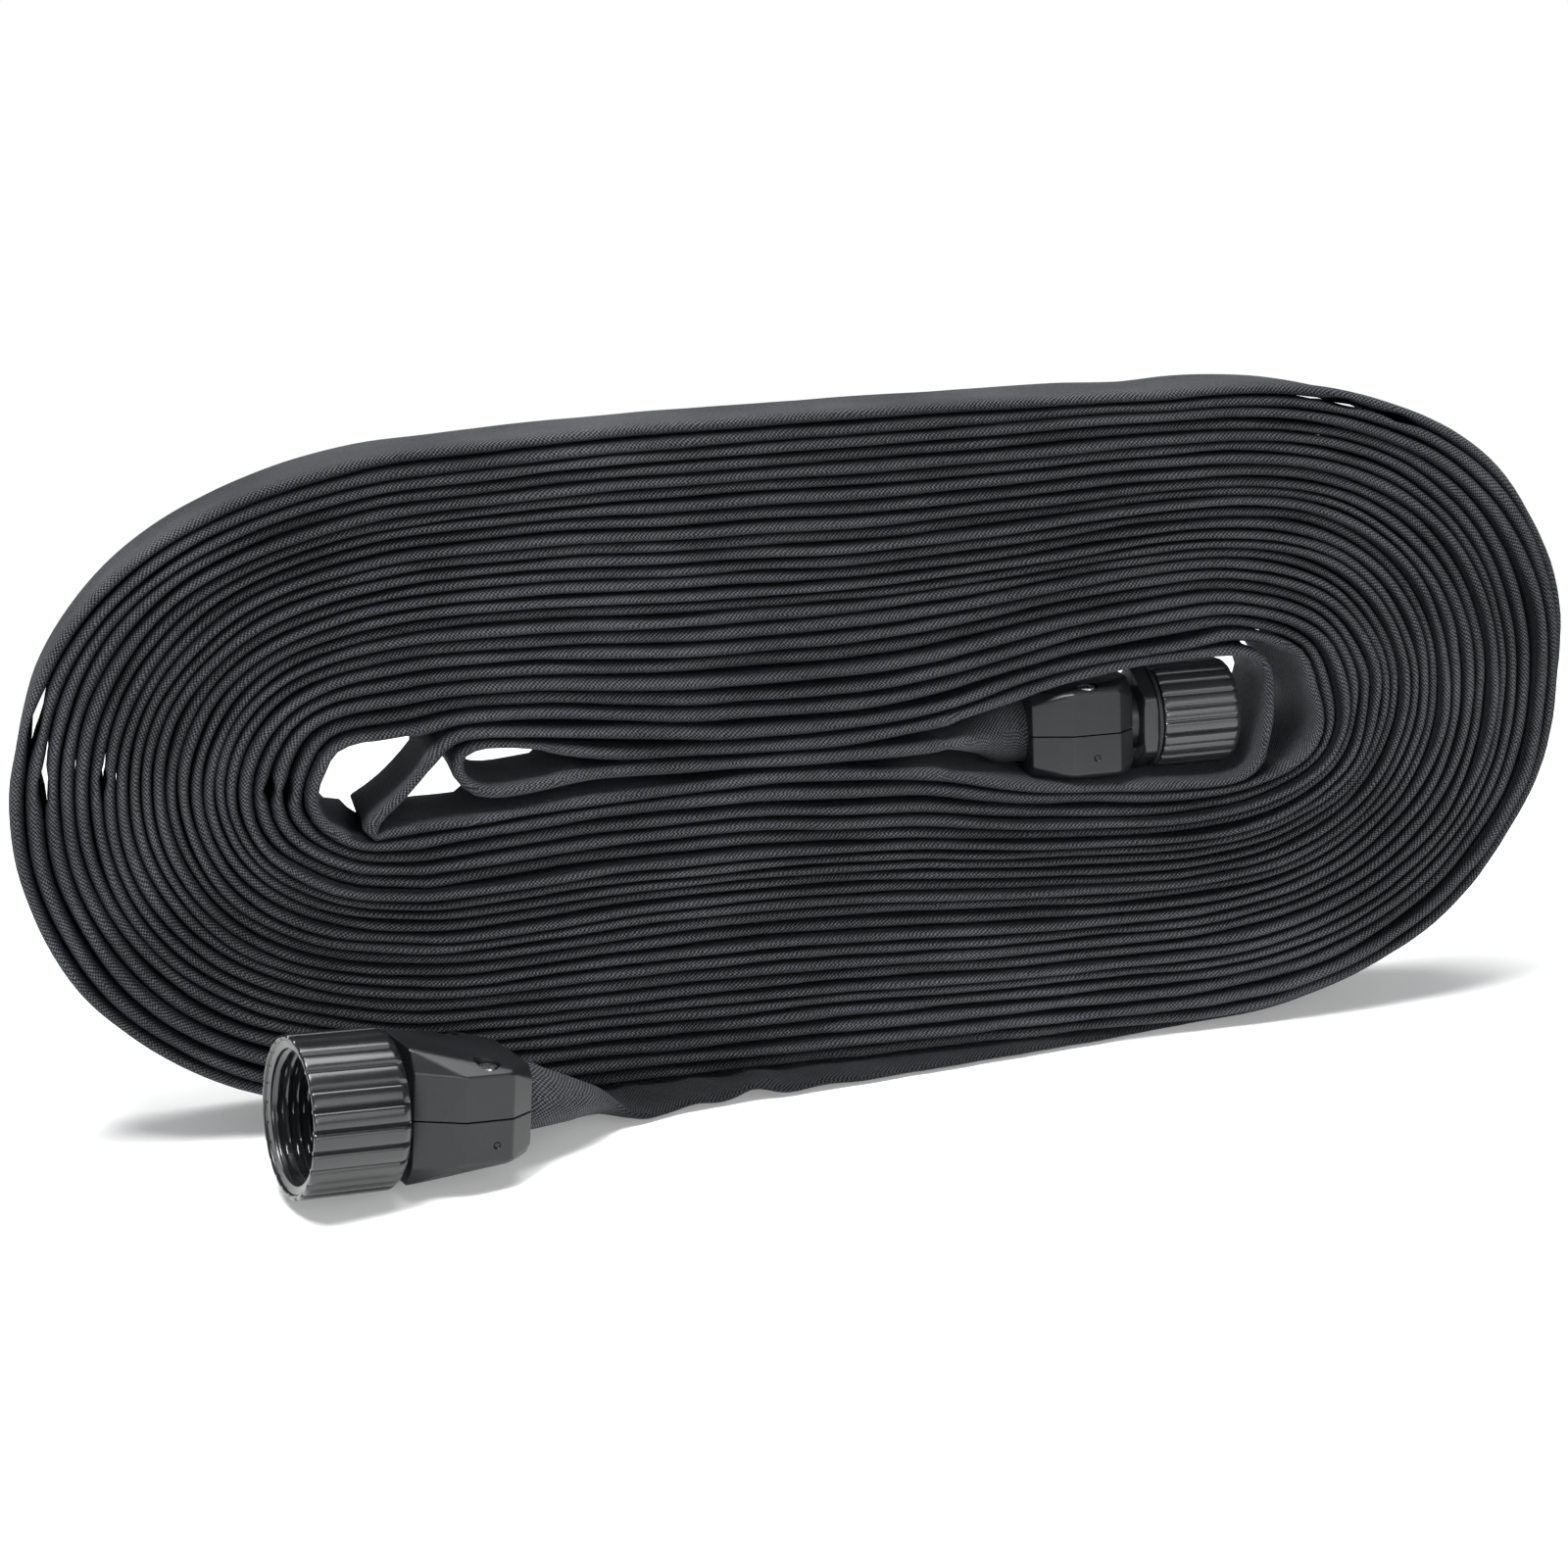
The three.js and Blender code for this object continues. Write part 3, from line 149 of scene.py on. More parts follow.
# ------------------------------------------------------------------ hose path
# Centre line of the coil from its inner end outwards, every 5 mm: x, z in 0.05 mm.
PATH_XZ = [
489,1424,401,1422,301,1421,201,1420,101,1421,1,1422,-99,1424,-199,1426,-299,1428,-399,1431,
-499,1434,-599,1437,-699,1440,-799,1444,-899,1446,-999,1445,-1098,1438,-1198,1426,-1297,1415,
-1397,1407,-1495,1416,-1572,1472,-1577,1564,-1498,1608,-1399,1606,-1299,1594,-1201,1576,
-1104,1554,-1006,1534,-907,1520,-807,1512,-707,1508,-607,1505,-507,1501,-407,1496,-307,1493,
-207,1490,-107,1490,-7,1491,93,1494,192,1499,292,1506,392,1516,491,1528,589,1547,686,1571,
783,1596,880,1622,976,1648,1074,1669,1173,1685,1272,1697,1371,1708,1471,1717,1571,1724,
1670,1730,1770,1732,1870,1725,1963,1692,2022,1617,2031,1518,2030,1418,2014,1320,1983,1226,
1913,1159,1817,1139,1717,1138,1617,1141,1517,1146,1417,1152,1317,1159,1217,1166,1118,1174,
1018,1183,919,1196,821,1216,724,1238,627,1262,529,1283,430,1300,331,1314,232,1325,132,1335,
33,1344,-67,1351,-167,1356,-267,1357,-367,1354,-467,1348,-567,1343,-666,1339,-766,1335,
-866,1330,-966,1325,-1066,1320,-1166,1314,-1266,1307,-1365,1297,-1465,1287,-1564,1279,
-1664,1277,-1764,1277,-1864,1270,-1958,1271,-1942,1333,-1864,1396,-1791,1464,-1722,1537,
-1658,1613,-1577,1662,-1478,1664,-1378,1655,-1278,1646,-1179,1637,-1079,1628,-980,1619,
-880,1612,-780,1602,-681,1593,-581,1583,-482,1573,-382,1568,-282,1565,-182,1561,-82,1558,
18,1558,118,1561,218,1567,317,1575,417,1585,516,1600,614,1620,711,1644,808,1668,906,1689,
1004,1707,1103,1722,1202,1735,1302,1744,1401,1751,1501,1759,1601,1769,1700,1782,1798,1802,
1896,1799,1994,1779,2089,1747,2171,1693,2214,1605,2239,1508,2265,1412,2262,1315,2206,1234,
2123,1179,2030,1144,1933,1119,1834,1105,1735,1099,1635,1095,1535,1096,1435,1101,1335,1110,
1236,1123,1137,1135,1037,1144,938,1152,838,1165,740,1182,642,1200,543,1218,445,1234,345,1244,
245,1250,145,1255,46,1261,-54,1268,-154,1275,-254,1281,-354,1285,-454,1285,-554,1285,
-654,1283,-754,1282,-854,1280,-954,1278,-1054,1274,-1153,1268,-1253,1261,-1353,1255,
-1453,1248,-1552,1240,-1652,1230,-1750,1215,-1850,1212,-1950,1215,-2045,1240,-2125,1299,
-2182,1379,-2188,1475,-2149,1566,-2095,1648,-2005,1684,-1905,1688,-1806,1695,-1707,1703,
-1609,1721,-1509,1731,-1409,1733,-1309,1730,-1210,1724,-1110,1715,-1011,1702,-912,1689,
-812,1678,-713,1668,-613,1660,-513,1655,-413,1653,-313,1650,-213,1645,-114,1641,-14,1641,
86,1643,186,1647,286,1654,385,1665,485,1679,583,1695,681,1714,779,1734,877,1755,975,1776,
1073,1795,1172,1811,1271,1823,1371,1833,1470,1842,1570,1852,1669,1862,1769,1867,1869,1862,
1966,1841,2062,1812,2153,1771,2230,1710,2273,1621,2298,1524,2322,1428,2314,1329,2269,1241,
2196,1175,2108,1128,2014,1094,1917,1068,1819,1051,1719,1043,1619,1037,1519,1035,1419,1038,
1320,1045,1220,1055,1121,1064,1021,1072,921,1082,822,1095,723,1110,625,1125,526,1141,
427,1154,327,1162,227,1167,127,1172,27,1178,-72,1187,-172,1196,-271,1203,-371,1209,
-471,1211,-571,1210,-671,1210,-771,1208,-871,1207,-971,1206,-1071,1202,-1171,1196,-1271,1190,
-1371,1183,-1470,1176,-1570,1168,-1670,1159,-1769,1151,-1869,1156,-1968,1167,-2063,1196,
-2151,1242,-2226,1308,-2269,1394,-2256,1491,-2220,1584,-2168,1669,-2087,1724,-1990,1745,
-1890,1752,-1791,1761,-1692,1777,-1593,1786,-1493,1790,-1393,1790,-1293,1787,-1193,1780,
-1094,1769,-994,1757,-895,1747,-795,1739,-695,1733,-595,1727,-496,1724,-396,1723,-296,1720,
-196,1717,-96,1716,4,1717,104,1721,204,1725,304,1732,403,1744,502,1758,601,1773,700,1790,
798,1809,896,1828,994,1846,1093,1864,1192,1878,1291,1889,1391,1898,1490,1905,1590,1914,
1690,1921,1790,1923,1889,1912,1987,1891,2082,1862,2173,1821,2255,1764,2315,1685,2350,1592,
2376,1496,2377,1397,2351,1301,2302,1214,2229,1148,2142,1098,2050,1061,1954,1032,1856,1013,
1756,1003,1657,996,1557,993,1457,994,1357,999,1257,1007,1158,1015,1058,1024,958,1032,
859,1041,759,1053,660,1066,561,1081,462,1095,363,1106,263,1113,163,1118,63,1123,-36,1130,
-136,1138,-236,1145,-336,1150,-436,1152,-536,1151,-636,1150,-736,1149,-836,1148,-936,1146,
-1036,1142,-1135,1136,-1235,1129,-1335,1122,-1435,1115,-1534,1109,-1634,1103,-1734,1096,
-1833,1103,-1932,1115,-2030,1134,-2122,1172,-2208,1223,-2283,1289,-2329,1375,-2332,1474,
-2311,1572,-2268,1661,-2206,1738,-2120,1787,-2023,1812,-1924,1822,-1824,1830,-1725,1841,
-1625,1849,-1525,1852,-1425,1852,-1325,1851,-1225,1847,-1126,1839,-1026,1830,-926,1821,
-827,1813,-727,1807,-627,1802,-527,1799,-427,1798,-327,1797,-227,1796,-127,1795,-27,1795,
73,1797,173,1801,273,1806,372,1815,472,1826,571,1840,669,1856,768,1873,866,1890,965,1907,
1064,1923,1163,1936,1262,1947,1362,1956,1461,1964,1561,1972,1661,1978,1761,1981,1860,1973,
1958,1953,2055,1927,2149,1893,2237,1846,2311,1780,2368,1698,2409,1608,2431,1511,2424,1411,
2402,1314,2362,1223,2297,1148,2216,1090,2127,1045,2033,1009,1937,984,1838,967,1739,959,
1639,952,1539,950,1439,953,1339,958,1239,964,1140,970,1040,977,940,985,840,993,741,1003,
642,1014,542,1026,443,1038,344,1049,244,1057,144,1063,44,1068,-56,1074,-155,1080,-255,1085,
-355,1089,-455,1090,-555,1089,-655,1088,-755,1087,-855,1087,-955,1084,-1055,1078,-1155,1071,
-1254,1064,-1354,1058,-1454,1052,-1554,1047,-1654,1042,-1754,1037,-1853,1049,-1952,1062,
-2049,1082,-2141,1121,-2228,1172,-2308,1231,-2369,1309,-2396,1404,-2398,1503,-2374,1600,
-2326,1687,-2262,1764,-2181,1820,-2089,1859,-1992,1882,-1892,1894,-1793,1904,-1694,1915,
-1594,1919,-1494,1920,-1394,1918,-1294,1916,-1194,1912,-1094,1905,-994,1897,-895,1890,
-795,1884,-695,1878,-595,1874,-495,1872,-395,1871,-295,1871,-195,1870,-95,1870,5,1870,
105,1872,205,1876,305,1882,404,1889,504,1900,603,1913,702,1927,801,1942,900,1956,999,1971,
1098,1985,1197,1996,1297,2006,1396,2014,1496,2022,1596,2028,1696,2032,1796,2030,1895,2018,
1993,1997,2089,1970,2182,1935,2270,1887,2343,1820,2402,1739,2449,1651,2480,1557,2478,1458,
2459,1360,2432,1264,2383,1177,2313,1106,2231,1049,2142,1005,2049,968,1952,943,1854,926,
1754,917,1654,911,1554,908,1454,910,1354,914,1254,918,1155,923,1055,929,955,936,855,944,
756,953,656,962,557,972,457,983,358,992,258,999,158,1004,58,1010,-42,1015,-142,1019,
-242,1023,-342,1025,-442,1026,-542,1026,-642,1025,-742,1026,-842,1026,-941,1024,-1041,1019,
-1141,1013,-1241,1006,-1341,1000,-1441,995,-1541,990,-1640,986,-1740,983,-1840,993,
-1939,1005,-2037,1024,-2132,1056,-2220,1103,-2302,1159,-2378,1224,-2434,1306,-2464,1401,
-2466,1500,-2443,1596,-2399,1686,-2340,1766,-2266,1833,-2179,1882,-2085,1917,-1988,1939,
-1889,1953,-1790,1963,-1690,1973,-1590,1976,-1490,1976,-1390,1974,-1290,1972,-1190,1968,
-1090,1962,-991,1956,-891,1950,-791,1944,-691,1938,-591,1934,-491,1933,-391,1932,-291,1932,
-191,1932,-91,1931,9,1932,109,1935,209,1940,308,1946,408,1954,508,1964,607,1975,706,1987,
806,1999,905,2012,1004,2025,1103,2039,1202,2050,1302,2059,1401,2067,1501,2074,1601,2080,
1701,2082,1801,2079,1900,2066,1998,2048,2095,2021,2188,1987,2277,1940,2354,1878,2420,1802,
2473,1718,2514,1627,2531,1529,2520,1430,2499,1333,2469,1238,2419,1152,2349,1080,2269,1022,
2180,975,2088,936,1993,907,1895,888,1795,877,1696,870,1596,866,1496,866,1396,870,1296,874,
1196,879,1096,885,996,891,897,899,797,907,697,917,598,926,498,937,399,946,299,952,199,957,
99,962,-1,967,-101,971,-200,973,-300,975,-400,975,-500,974,-600,974,-700,974,-800,975,
-900,974,-1000,971,-1100,965,-1200,959,-1300,953,-1400,947,-1500,942,-1599,938,-1699,935,
-1799,941,-1898,953,-1997,969,-2094,993,-2187,1030,-2274,1078,-2355,1137,-2425,1207,
-2478,1292,-2511,1386,-2522,1485,-2507,1583,-2472,1677,-2420,1761,-2352,1834,-2272,1894,
-2183,1939,-2089,1972,-1992,1995,-1893,2010,-1794,2022,-1694,2031,-1594,2034,-1494,2034,
-1394,2033,-1294,2031,-1194,2028,-1094,2023,-994,2018,-895,2012,-795,2006,-695,2001,
-595,1997,-495,1996,-395,1996,-295,1996,-195,1996,-95,1996,5,1997,105,2000,205,2004,305,2010,
404,2018,504,2026,604,2035,703,2046,802,2057,902,2068,1001,2080,1100,2092,1200,2102,
1299,2111,1399,2118,1499,2124,1599,2129,1699,2131,1799,2127,1898,2114,1996,2096,2093,2071,
2187,2037,2277,1994,2359,1936,2430,1866,2490,1787,2537,1699,2569,1605,2579,1506,2568,1406,
2543,1310,2509,1216,2458,1130,2389,1058,2310,997,2224,947,2133,905,2038,873,1941,852,
1842,838,1742,830,1642,824,1542,823,1442,825,1342,830,1243,834,1143,840,1043,846,943,853,
843,861,744,870,644,880,545,890,445,901,346,908,246,913,146,919,46,924,-54,928,-154,931,
-254,933,-354,934,-454,934,-554,933,-654,932,-754,932,-854,931,-954,927,-1054,922,-1153,916,
-1253,910,-1353,904,-1453,899,-1553,895,-1653,893,-1753,896,-1852,908,-1951,922,-2049,942,
-2144,971,-2236,1011,-2322,1062,-2401,1123,-2468,1197,-2518,1283,-2550,1377,-2564,1476,
-2556,1575,-2526,1670,-2479,1758,-2417,1836,-2344,1903,-2260,1957,-2168,1997,-2073,2026,
-1975,2049,-1876,2064,-1777,2076,-1677,2084,-1577,2087,-1477,2089,-1377,2089,-1277,2088,
-1178,2086,-1078,2082,-978,2078,-878,2073,-778,2069,-678,2065,-578,2064,-478,2063,-378,2063,
-278,2063,-178,2062,-78,2062,22,2062,122,2064,222,2068,322,2073,422,2080,521,2086,621,2093,
721,2101,820,2110,920,2120,1020,2129,1119,2138,1219,2147,1318,2154,1418,2161,1518,2167,
1618,2171,1718,2172,1818,2167,1917,2156,2016,2139,2113,2115,2207,2082,2297,2039,2380,1984,
2453,1916,2516,1838,2567,1753,2605,1660,2626,1563,2628,1463,2614,1364,2583,1269,2542,1178,
2487,1095,2418,1023,2339,962,2253,911,2162,869,2068,836,1971,813,1872,798,1772,789,1673,782,
1573,779,1473,779,1373,782,1273,786,1173,791,1073,798,973,805,874,813,774,822,674,831,
575,841,475,851,376,859,276,866,176,871,76,876,-24,881,-124,884,-224,887,-324,888,-424,888,
-524,887,-624,886,-724,885,-823,882,-923,878,-1023,872,-1123,866,-1223,860,-1323,854,
-1422,848,-1522,843,-1622,841,-1722,845,-1821,857,-1920,871,-2019,889,-2116,914,-2209,948,
-2299,993,-2382,1048,-2457,1114,-2519,1192,-2565,1280,-2594,1376,-2607,1475,-2598,1574,
-2570,1670,-2526,1759,-2469,1841,-2400,1913,-2321,1974,-2232,2020,-2138,2054,-2042,2079,
-1944,2099,-1844,2112,-1745,2124,-1645,2130,-1545,2134,-1445,2136,-1345,2137,-1245,2138,
-1145,2136,-1046,2133,-946,2129,-846,2124,-746,2120,-646,2118,-546,2117,-446,2117,-346,2116,
-246,2115,-146,2114,-46,2113,54,2113,154,2115,254,2120,354,2125,454,2130,554,2136,653,2142,
753,2149,853,2157,953,2165,1052,2173,1152,2182,1252,2190,1351,2197,1451,2204,1551,2209,
1651,2212,1751,2212,1851,2207,1950,2197,2049,2180,2145,2155,2239,2121,2329,2077,2411,2021,
2485,1954,2549,1877,2601,1791,2640,1700,2665,1603,2674,1504,2669,1404,2648,1306,2612,1214,
2563,1126,2504,1046,2433,976,2352,918,2266,867,2175,825,2080,793,1983,771,1884,755,1785,746,
1685,739,1585,735,1485,734,1385,736,1285,739,1185,744,1085,751,986,758,886,765,786,773,
686,781,587,789,487,797,387,805,288,812,188,818,88,823,-12,828,-112,832,-212,835,-312,836,
-412,837,-512,835,-612,834,-712,833,-812,830,-912,826,-1012,820,-1111,814,-1211,807,
-1311,802,-1411,796,-1511,791,-1611,788,-1711,790,-1810,802,-1909,816,-2007,832,-2105,853,
-2200,883,-2292,924,-2379,973,-2459,1033,-2528,1105,-2583,1188,-2623,1279,-2650,1375,
-2661,1474,-2652,1574,-2625,1670,-2584,1761,-2532,1846,-2468,1923,-2393,1988,-2309,2041,
-2217,2082,-2122,2112,-2025,2136,-1927,2154,-1827,2166,-1728,2176,-1628,2181,-1528,2184,
-1428,2186,-1328,2188,-1228,2188,-1128,2185,-1028,2181,-928,2176,-829,2171,-729,2166,
-629,2163,-529,2161,-429,2161,-329,2160,-229,2157,-129,2154,-29,2153,71,2153,171,2156,
271,2160,371,2166,471,2171,571,2177,670,2183,770,2190,870,2198,970,2207,1069,2215,1169,2224,
1268,2232,1368,2239,1468,2246,1568,2251,1668,2253,1768,2252,1868,2246,1967,2235,2065,2218,
2162,2192,2256,2159,2347,2117,2431,2063,2506,1998,2572,1922,2627,1839,2672,1750,2703,1655,
2720,1557,2721,1457,2708,1358,2680,1262,2640,1171,2590,1084,2528,1006,2455,937,2374,879,
2288,828,2197,787,2103,754,2006,730,1907,715,1808,704,1708,697,1608,692,1508,691,1408,693,
1308,696,1208,701,1108,707,1009,714,909,721,809,727,709,734,610,741,510,748,410,755,310,762,
211,769,111,775,11,780,-89,784,-189,786,-289,789,-389,789,-489,788,-589,787,-689,786,
-789,784,-889,780,-989,775,-1089,769,-1188,762,-1288,757,-1388,752,-1488,747,-1588,743,
-1688,743,-1787,752,-1886,766,-1985,782,-2083,801,-2180,826,-2273,862,-2363,907,-2446,961,
-2522,1026,-2587,1102,-2637,1188,-2675,1281,-2700,1377,-2711,1476,-2704,1576,-2679,1672,
-2640,1764,-2592,1852,-2531,1931,-2459,2000,-2378,2058,-2290,2105,-2197,2142,-2101,2170,
-2004,2193,-1905,2210,-1806,2221,-1706,2230,-1607,2236,-1507,2240,-1407,2242,-1307,2244,
-1207,2243,-1107,2240,-1007,2235,-907,2231,-807,2226,-707,2222,-607,2219,-507,2218,
-407,2218,-307,2216,-207,2213,-107,2209,-7,2207,93,2206,193,2208,293,2213,392,2217,492,2223,
592,2228,692,2234,792,2241,891,2249,991,2257,1091,2265,1190,2273,1290,2281,1390,2289,
1490,2295,1590,2300,1690,2301,1790,2299,1889,2292,1989,2282,2087,2266,2185,2243,2279,2210,
2370,2168,2454,2115,2531,2051,2599,1978,2657,1897,2706,1809,2743,1717,2767,1620,2778,1521,
2773,1421,2754,1323,2722,1228,2680,1138,2627,1053,2564,976,2491,908,2410,848,2325,796,
2235,753,2141,719,2045,693,1946,676,1847,664,1747,656,1647,651,1547,648,1447,649,1347,650,
1247,654,1148,658,1048,664,948,671,848,677,748,683,648,690,549,696,449,702,349,709,249,715,
150,722,50,727,-50,732,-150,735,-250,738,-350,738,-450,738,-550,737,-650,736,-750,734,
-850,731,-950,727,-1050,722,-1150,716,-1250,710,-1349,705,-1449,700,-1549,697,-1649,697,
-1749,703,-1848,715,-1947,729,-2046,746,-2143,769,-2238,799,-2330,838,-2418,887,-2499,945,
-2571,1013,-2634,1091,-2683,1178,-2720,1271,-2745,1368,-2757,1467,-2753,1567,-2733,1664,
-2699,1758,-2653,1847,-2595,1928,-2527,2001,-2450,2064,-2365,2118,-2275,2161,-2181,2195,
-2085,2221,-1987,2242,-1888,2257,-1789,2270,-1689,2279,-1590,2286,-1490,2291,-1390,2293,
-1290,2294,-1190,2294,-1090,2292,-990,2288,-890,2284,-790,2279,-690,2276,-590,2274,
-490,2273,-390,2273,-290,2272,-190,2268,-90,2264,10,2262,110,2261,210,2263,310,2267,409,2272,
509,2277,609,2282,709,2288,809,2295,908,2302,1008,2309,1108,2317,1208,2325,1307,2333,
1407,2340,1507,2346,1607,2350,1707,2352,1807,2349,1906,2342,2006,2333,2105,2319,2202,2297,
2297,2264,2387,2221,2472,2168,2549,2105,2619,2034,2681,1955,2734,1870,2775,1780,2805,1684,
2823,1586,2830,1486,2822,1387,2800,1290,2765,1196,2719,1107,2665,1024,2600,947,2527,879,
2448,818,2363,765,2274,721,2181,685,2085,657,1987,638,1887,625,1788,616,1688,609,1588,606,
1488,604,1388,604,1288,606,1188,608,1088,611,988,616,888,621,789,626,689,631,589,636,489,642,
389,648,289,653,189,658,89,663,-10,667,-110,671,-210,673,-310,674,-410,674,-510,674,
-610,673,-710,671,-810,669,-910,666,-1010,661,-1110,656,-1210,651,-1310,647,-1410,642,
-1510,639,-1610,639,-1710,644,-1809,655,-1908,668,-2007,683,-2105,704,-2201,730,-2295,763,
-2386,805,-2472,856,-2551,917,-2621,988,-2682,1067,-2732,1154,-2771,1246,-2797,1342,
-2810,1441,-2809,1541,-2796,1640,-2769,1736,-2730,1828,-2676,1912,-2612,1988,-2539,2057,
-2460,2118,-2375,2170,-2285,2213,-2190,2245,-2093,2270,-1995,2290,-1896,2305,-1797,2318,
-1698,2328,-1598,2334,-1498,2338,-1398,2341,-1298,2342,-1198,2343,-1098,2344,-998,2342,
-898,2338,-798,2333,-698,2329,-598,2326,-498,2326,-398,2326,-298,2325,-198,2323,-99,2319,
1,2315,101,2315,201,2316,301,2319,401,2323,501,2328,601,2333,701,2338,801,2344,901,2350,
1000,2356,1100,2363,1200,2371,1300,2378,1399,2384,1499,2389,1599,2393,1699,2395,1799,2394,
1899,2389,1999,2379,2098,2365,2195,2345,2291,2316,2383,2276,2470,2227,2551,2169,2625,2102,
2691,2026,2748,1945,2796,1857,2833,1764,2859,1668,2874,1569,2878,1469,2869,1370,2847,1272,
2814,1178,2771,1088,2716,1004,2651,929,2579,859,2502,796,2419,740,2331,693,2238,655,2143,623,
2046,600,1948,584,1848,572,1749,564,1649,558,1549,555,1449,554,1349,554,1249,555,1149,556,
1049,559,949,563,849,568,749,572,649,577,549,582,450,587,350,593,250,598,150,602,50,606,
-50,610,-150,613,-250,616,-350,618,-450,618,-550,617,-650,616,-750,614,-850,612,-950,609,
-1050,605,-1149,601,-1249,597,-1349,593,-1449,589,-1549,588,-1649,590,-1749,597,-1848,611,
-1947,625,-2045,643,-2143,665,-2239,693,-2332,729,-2422,772,-2508,824,-2586,886,-2656,957,
-2716,1037,-2768,1122,-2810,1213,-2839,1308,-2855,1407,-2858,1507,-2849,1606,-2828,1704,
-2795,1798,-2750,1887,-2692,1968,-2624,2042,-2550,2108,-2470,2168,-2384,2220,-2293,2260,
-2198,2291,-2101,2316,-2003,2336,-1904,2352,-1805,2366,-1706,2376,-1606,2382,-1506,2387,
-1406,2389,-1306,2391,-1206,2393,-1106,2394,-1006,2394,-906,2390,-806,2386,-706,2383,
-606,2381,-506,2381,-406,2381,-306,2381,-206,2379,-106,2375,-6,2371,94,2369,194,2370,
293,2372,393,2376,493,2381,593,2385,693,2389,793,2394,893,2398,993,2403,1093,2408,1193,2414,
1292,2420,1392,2426,1492,2430,1592,2433,1692,2435,1792,2435,1892,2431,1992,2423,2091,2409,
2189,2389,2285,2363,2378,2328,2468,2283,2551,2228,2629,2165,2699,2094,2761,2016,2815,1932,
2858,1842,2892,1748,2914,1650,2926,1551,2928,1451,2918,1352,2897,1254,2865,1159,2823,1069,
2768,986,2702,910,2631,840,2555,775,2474,716,2388,666,2297,625,2203,591,2107,564,2009,544,
1910,530,1810,520,1710,512,1611,506,1511,504,1411,504,1311,504,1211,505,1111,507,1011,509,
911,513,811,517,711,520,611,524,511,528,411,534,311,539,211,544,112,549,12,553,-88,557,
-188,560,-288,563,-388,565,-488,565,-588,565,-688,565,-788,564,-888,562,-988,560,-1088,557,
-1188,554,-1288,551,-1388,548,-1488,546,-1588,547,-1688,549,-1788,557,-1887,570,-1985,587,
-2083,607,-2180,632,-2275,662,-2368,699,-2458,744,-2543,796,-2621,858,-2691,929,-2752,1008,
-2805,1093,-2848,1184,-2879,1278,-2897,1376,-2902,1476,-2896,1576,-2880,1675,-2852,1770,
-2812,1862,-2760,1947,-2698,2025,-2628,2097,-2552,2161,-2470,2219,-2383,2267,-2291,2306,
-2196,2338,-2099,2363,-2001,2383,-1902,2399,-1803,2413,-1704,2423,-1604,2429,-1504,2433,
-1404,2436,-1304,2439,-1204,2442,-1104,2444,-1004,2443,-904,2440,-804,2436,-704,2433,
-604,2432,-504,2432,-404,2433,-304,2433,-204,2431,-104,2427,-4,2424,96,2422,196,2423,
296,2425,395,2429,495,2432,595,2436,695,2440,795,2444,895,2447,995,2451,1095,2456,1195,2461,
1295,2466,1395,2470,1495,2473,1595,2475,1695,2476,1795,2477,1894,2473,1994,2465,2093,2451,
2191,2433,2288,2407,2382,2374,2473,2332,2559,2282,2640,2222,2714,2155,2781,2081,2839,2000,
2888,1913,2927,1821,2957,1726,2976,1628,2985,1528,2984,1428,2973,1329,2951,1232,2919,1137,
2876,1047,2823,962,2760,885,2689,814,2613,749,2532,691,2445,641,2355,599,2262,562,2166,533,
2069,510,1970,493,1871,481,1771,472,1672,464,1572,460,1472,458,1372,459,1272,460,1172,461,
1072,463,972,464,872,466,772,468,672,471,572,475,472,479,372,483,272,488,172,492,73,496,
-27,499,-127,502,-227,504,-327,505,-427,506,-527,507,-627,507,-727,506,-827,505,-927,504,
-1027,502,-1127,501,-1227,499,-1327,497,-1427,497,-1527,497,-1627,499,-1727,501,-1827,508,
-1926,522,-2024,542,-2121,565,-2218,591,-2313,621,-2405,659,-2495,704,-2579,757,-2658,819,
-2729,889,-2792,966,-2846,1050,-2890,1140,-2924,1234,-2946,1331,-2955,1431,-2952,1531,
-2940,1630,-2918,1727,-2883,1821,-2837,1910,-2783,1993,-2719,2071,-2648,2141,-2572,2205,
-2490,2262,-2402,2311,-2311,2351,-2216,2382,-2119,2408,-2022,2430,-1923,2447,-1824,2463,
-1725,2474,-1625,2481,-1525,2485,-1426,2488,-1326,2492,-1226,2496,-1126,2498,-1026,2498,
-926,2496,-826,2493,-726,2490,-626,2489,-526,2490,-426,2490,-326,2491,-226,2491,-126,2489,
-26,2487,74,2485,174,2484,274,2484,374,2487,474,2490,574,2493,674,2497,774,2501,874,2505,
974,2509,1074,2513,1174,2517,1273,2521,1373,2524,1473,2526,1573,2527,1673,2528,1773,2528,
1873,2525,1973,2518,2072,2506,2171,2490,2268,2468,2364,2438,2457,2402,2546,2357,2631,2304,
2710,2243,2783,2174,2847,2098,2903,2015,2949,1926,2987,1834,3016,1738,3036,1641,3046,1541,
3046,1441,3037,1342,3018,1244,2989,1148,2951,1056,2902,968,2845,887,2779,812,2706,743,
2626,683,2542,629,2454,581,2363,540,2270,505,2174,476,2076,454,1978,437,1879,425,1779,417,
1679,410,1579,406,1479,405,1379,407,1279,408,1179,409,1079,410,979,410,879,411,779,413,
679,415,579,418,479,422,380,427,280,431,180,434,80,437,-20,440,-120,442,-220,443,-320,443,
-420,443,-520,444,-620,444,-720,443,-820,442,-920,442,-1020,441,-1120,440,-1220,439,
-1320,438,-1420,439,-1520,440,-1620,442,-1720,445,-1820,452,-1919,467,-2017,486,-2114,509,
-2211,534,-2307,563,-2401,598,-2491,640,-2578,690,-2659,748,-2734,813,-2802,886,-2862,966,
-2913,1052,-2954,1144,-2984,1239,-3002,1337,-3008,1437,-3005,1537,-2992,1636,-2969,1733,
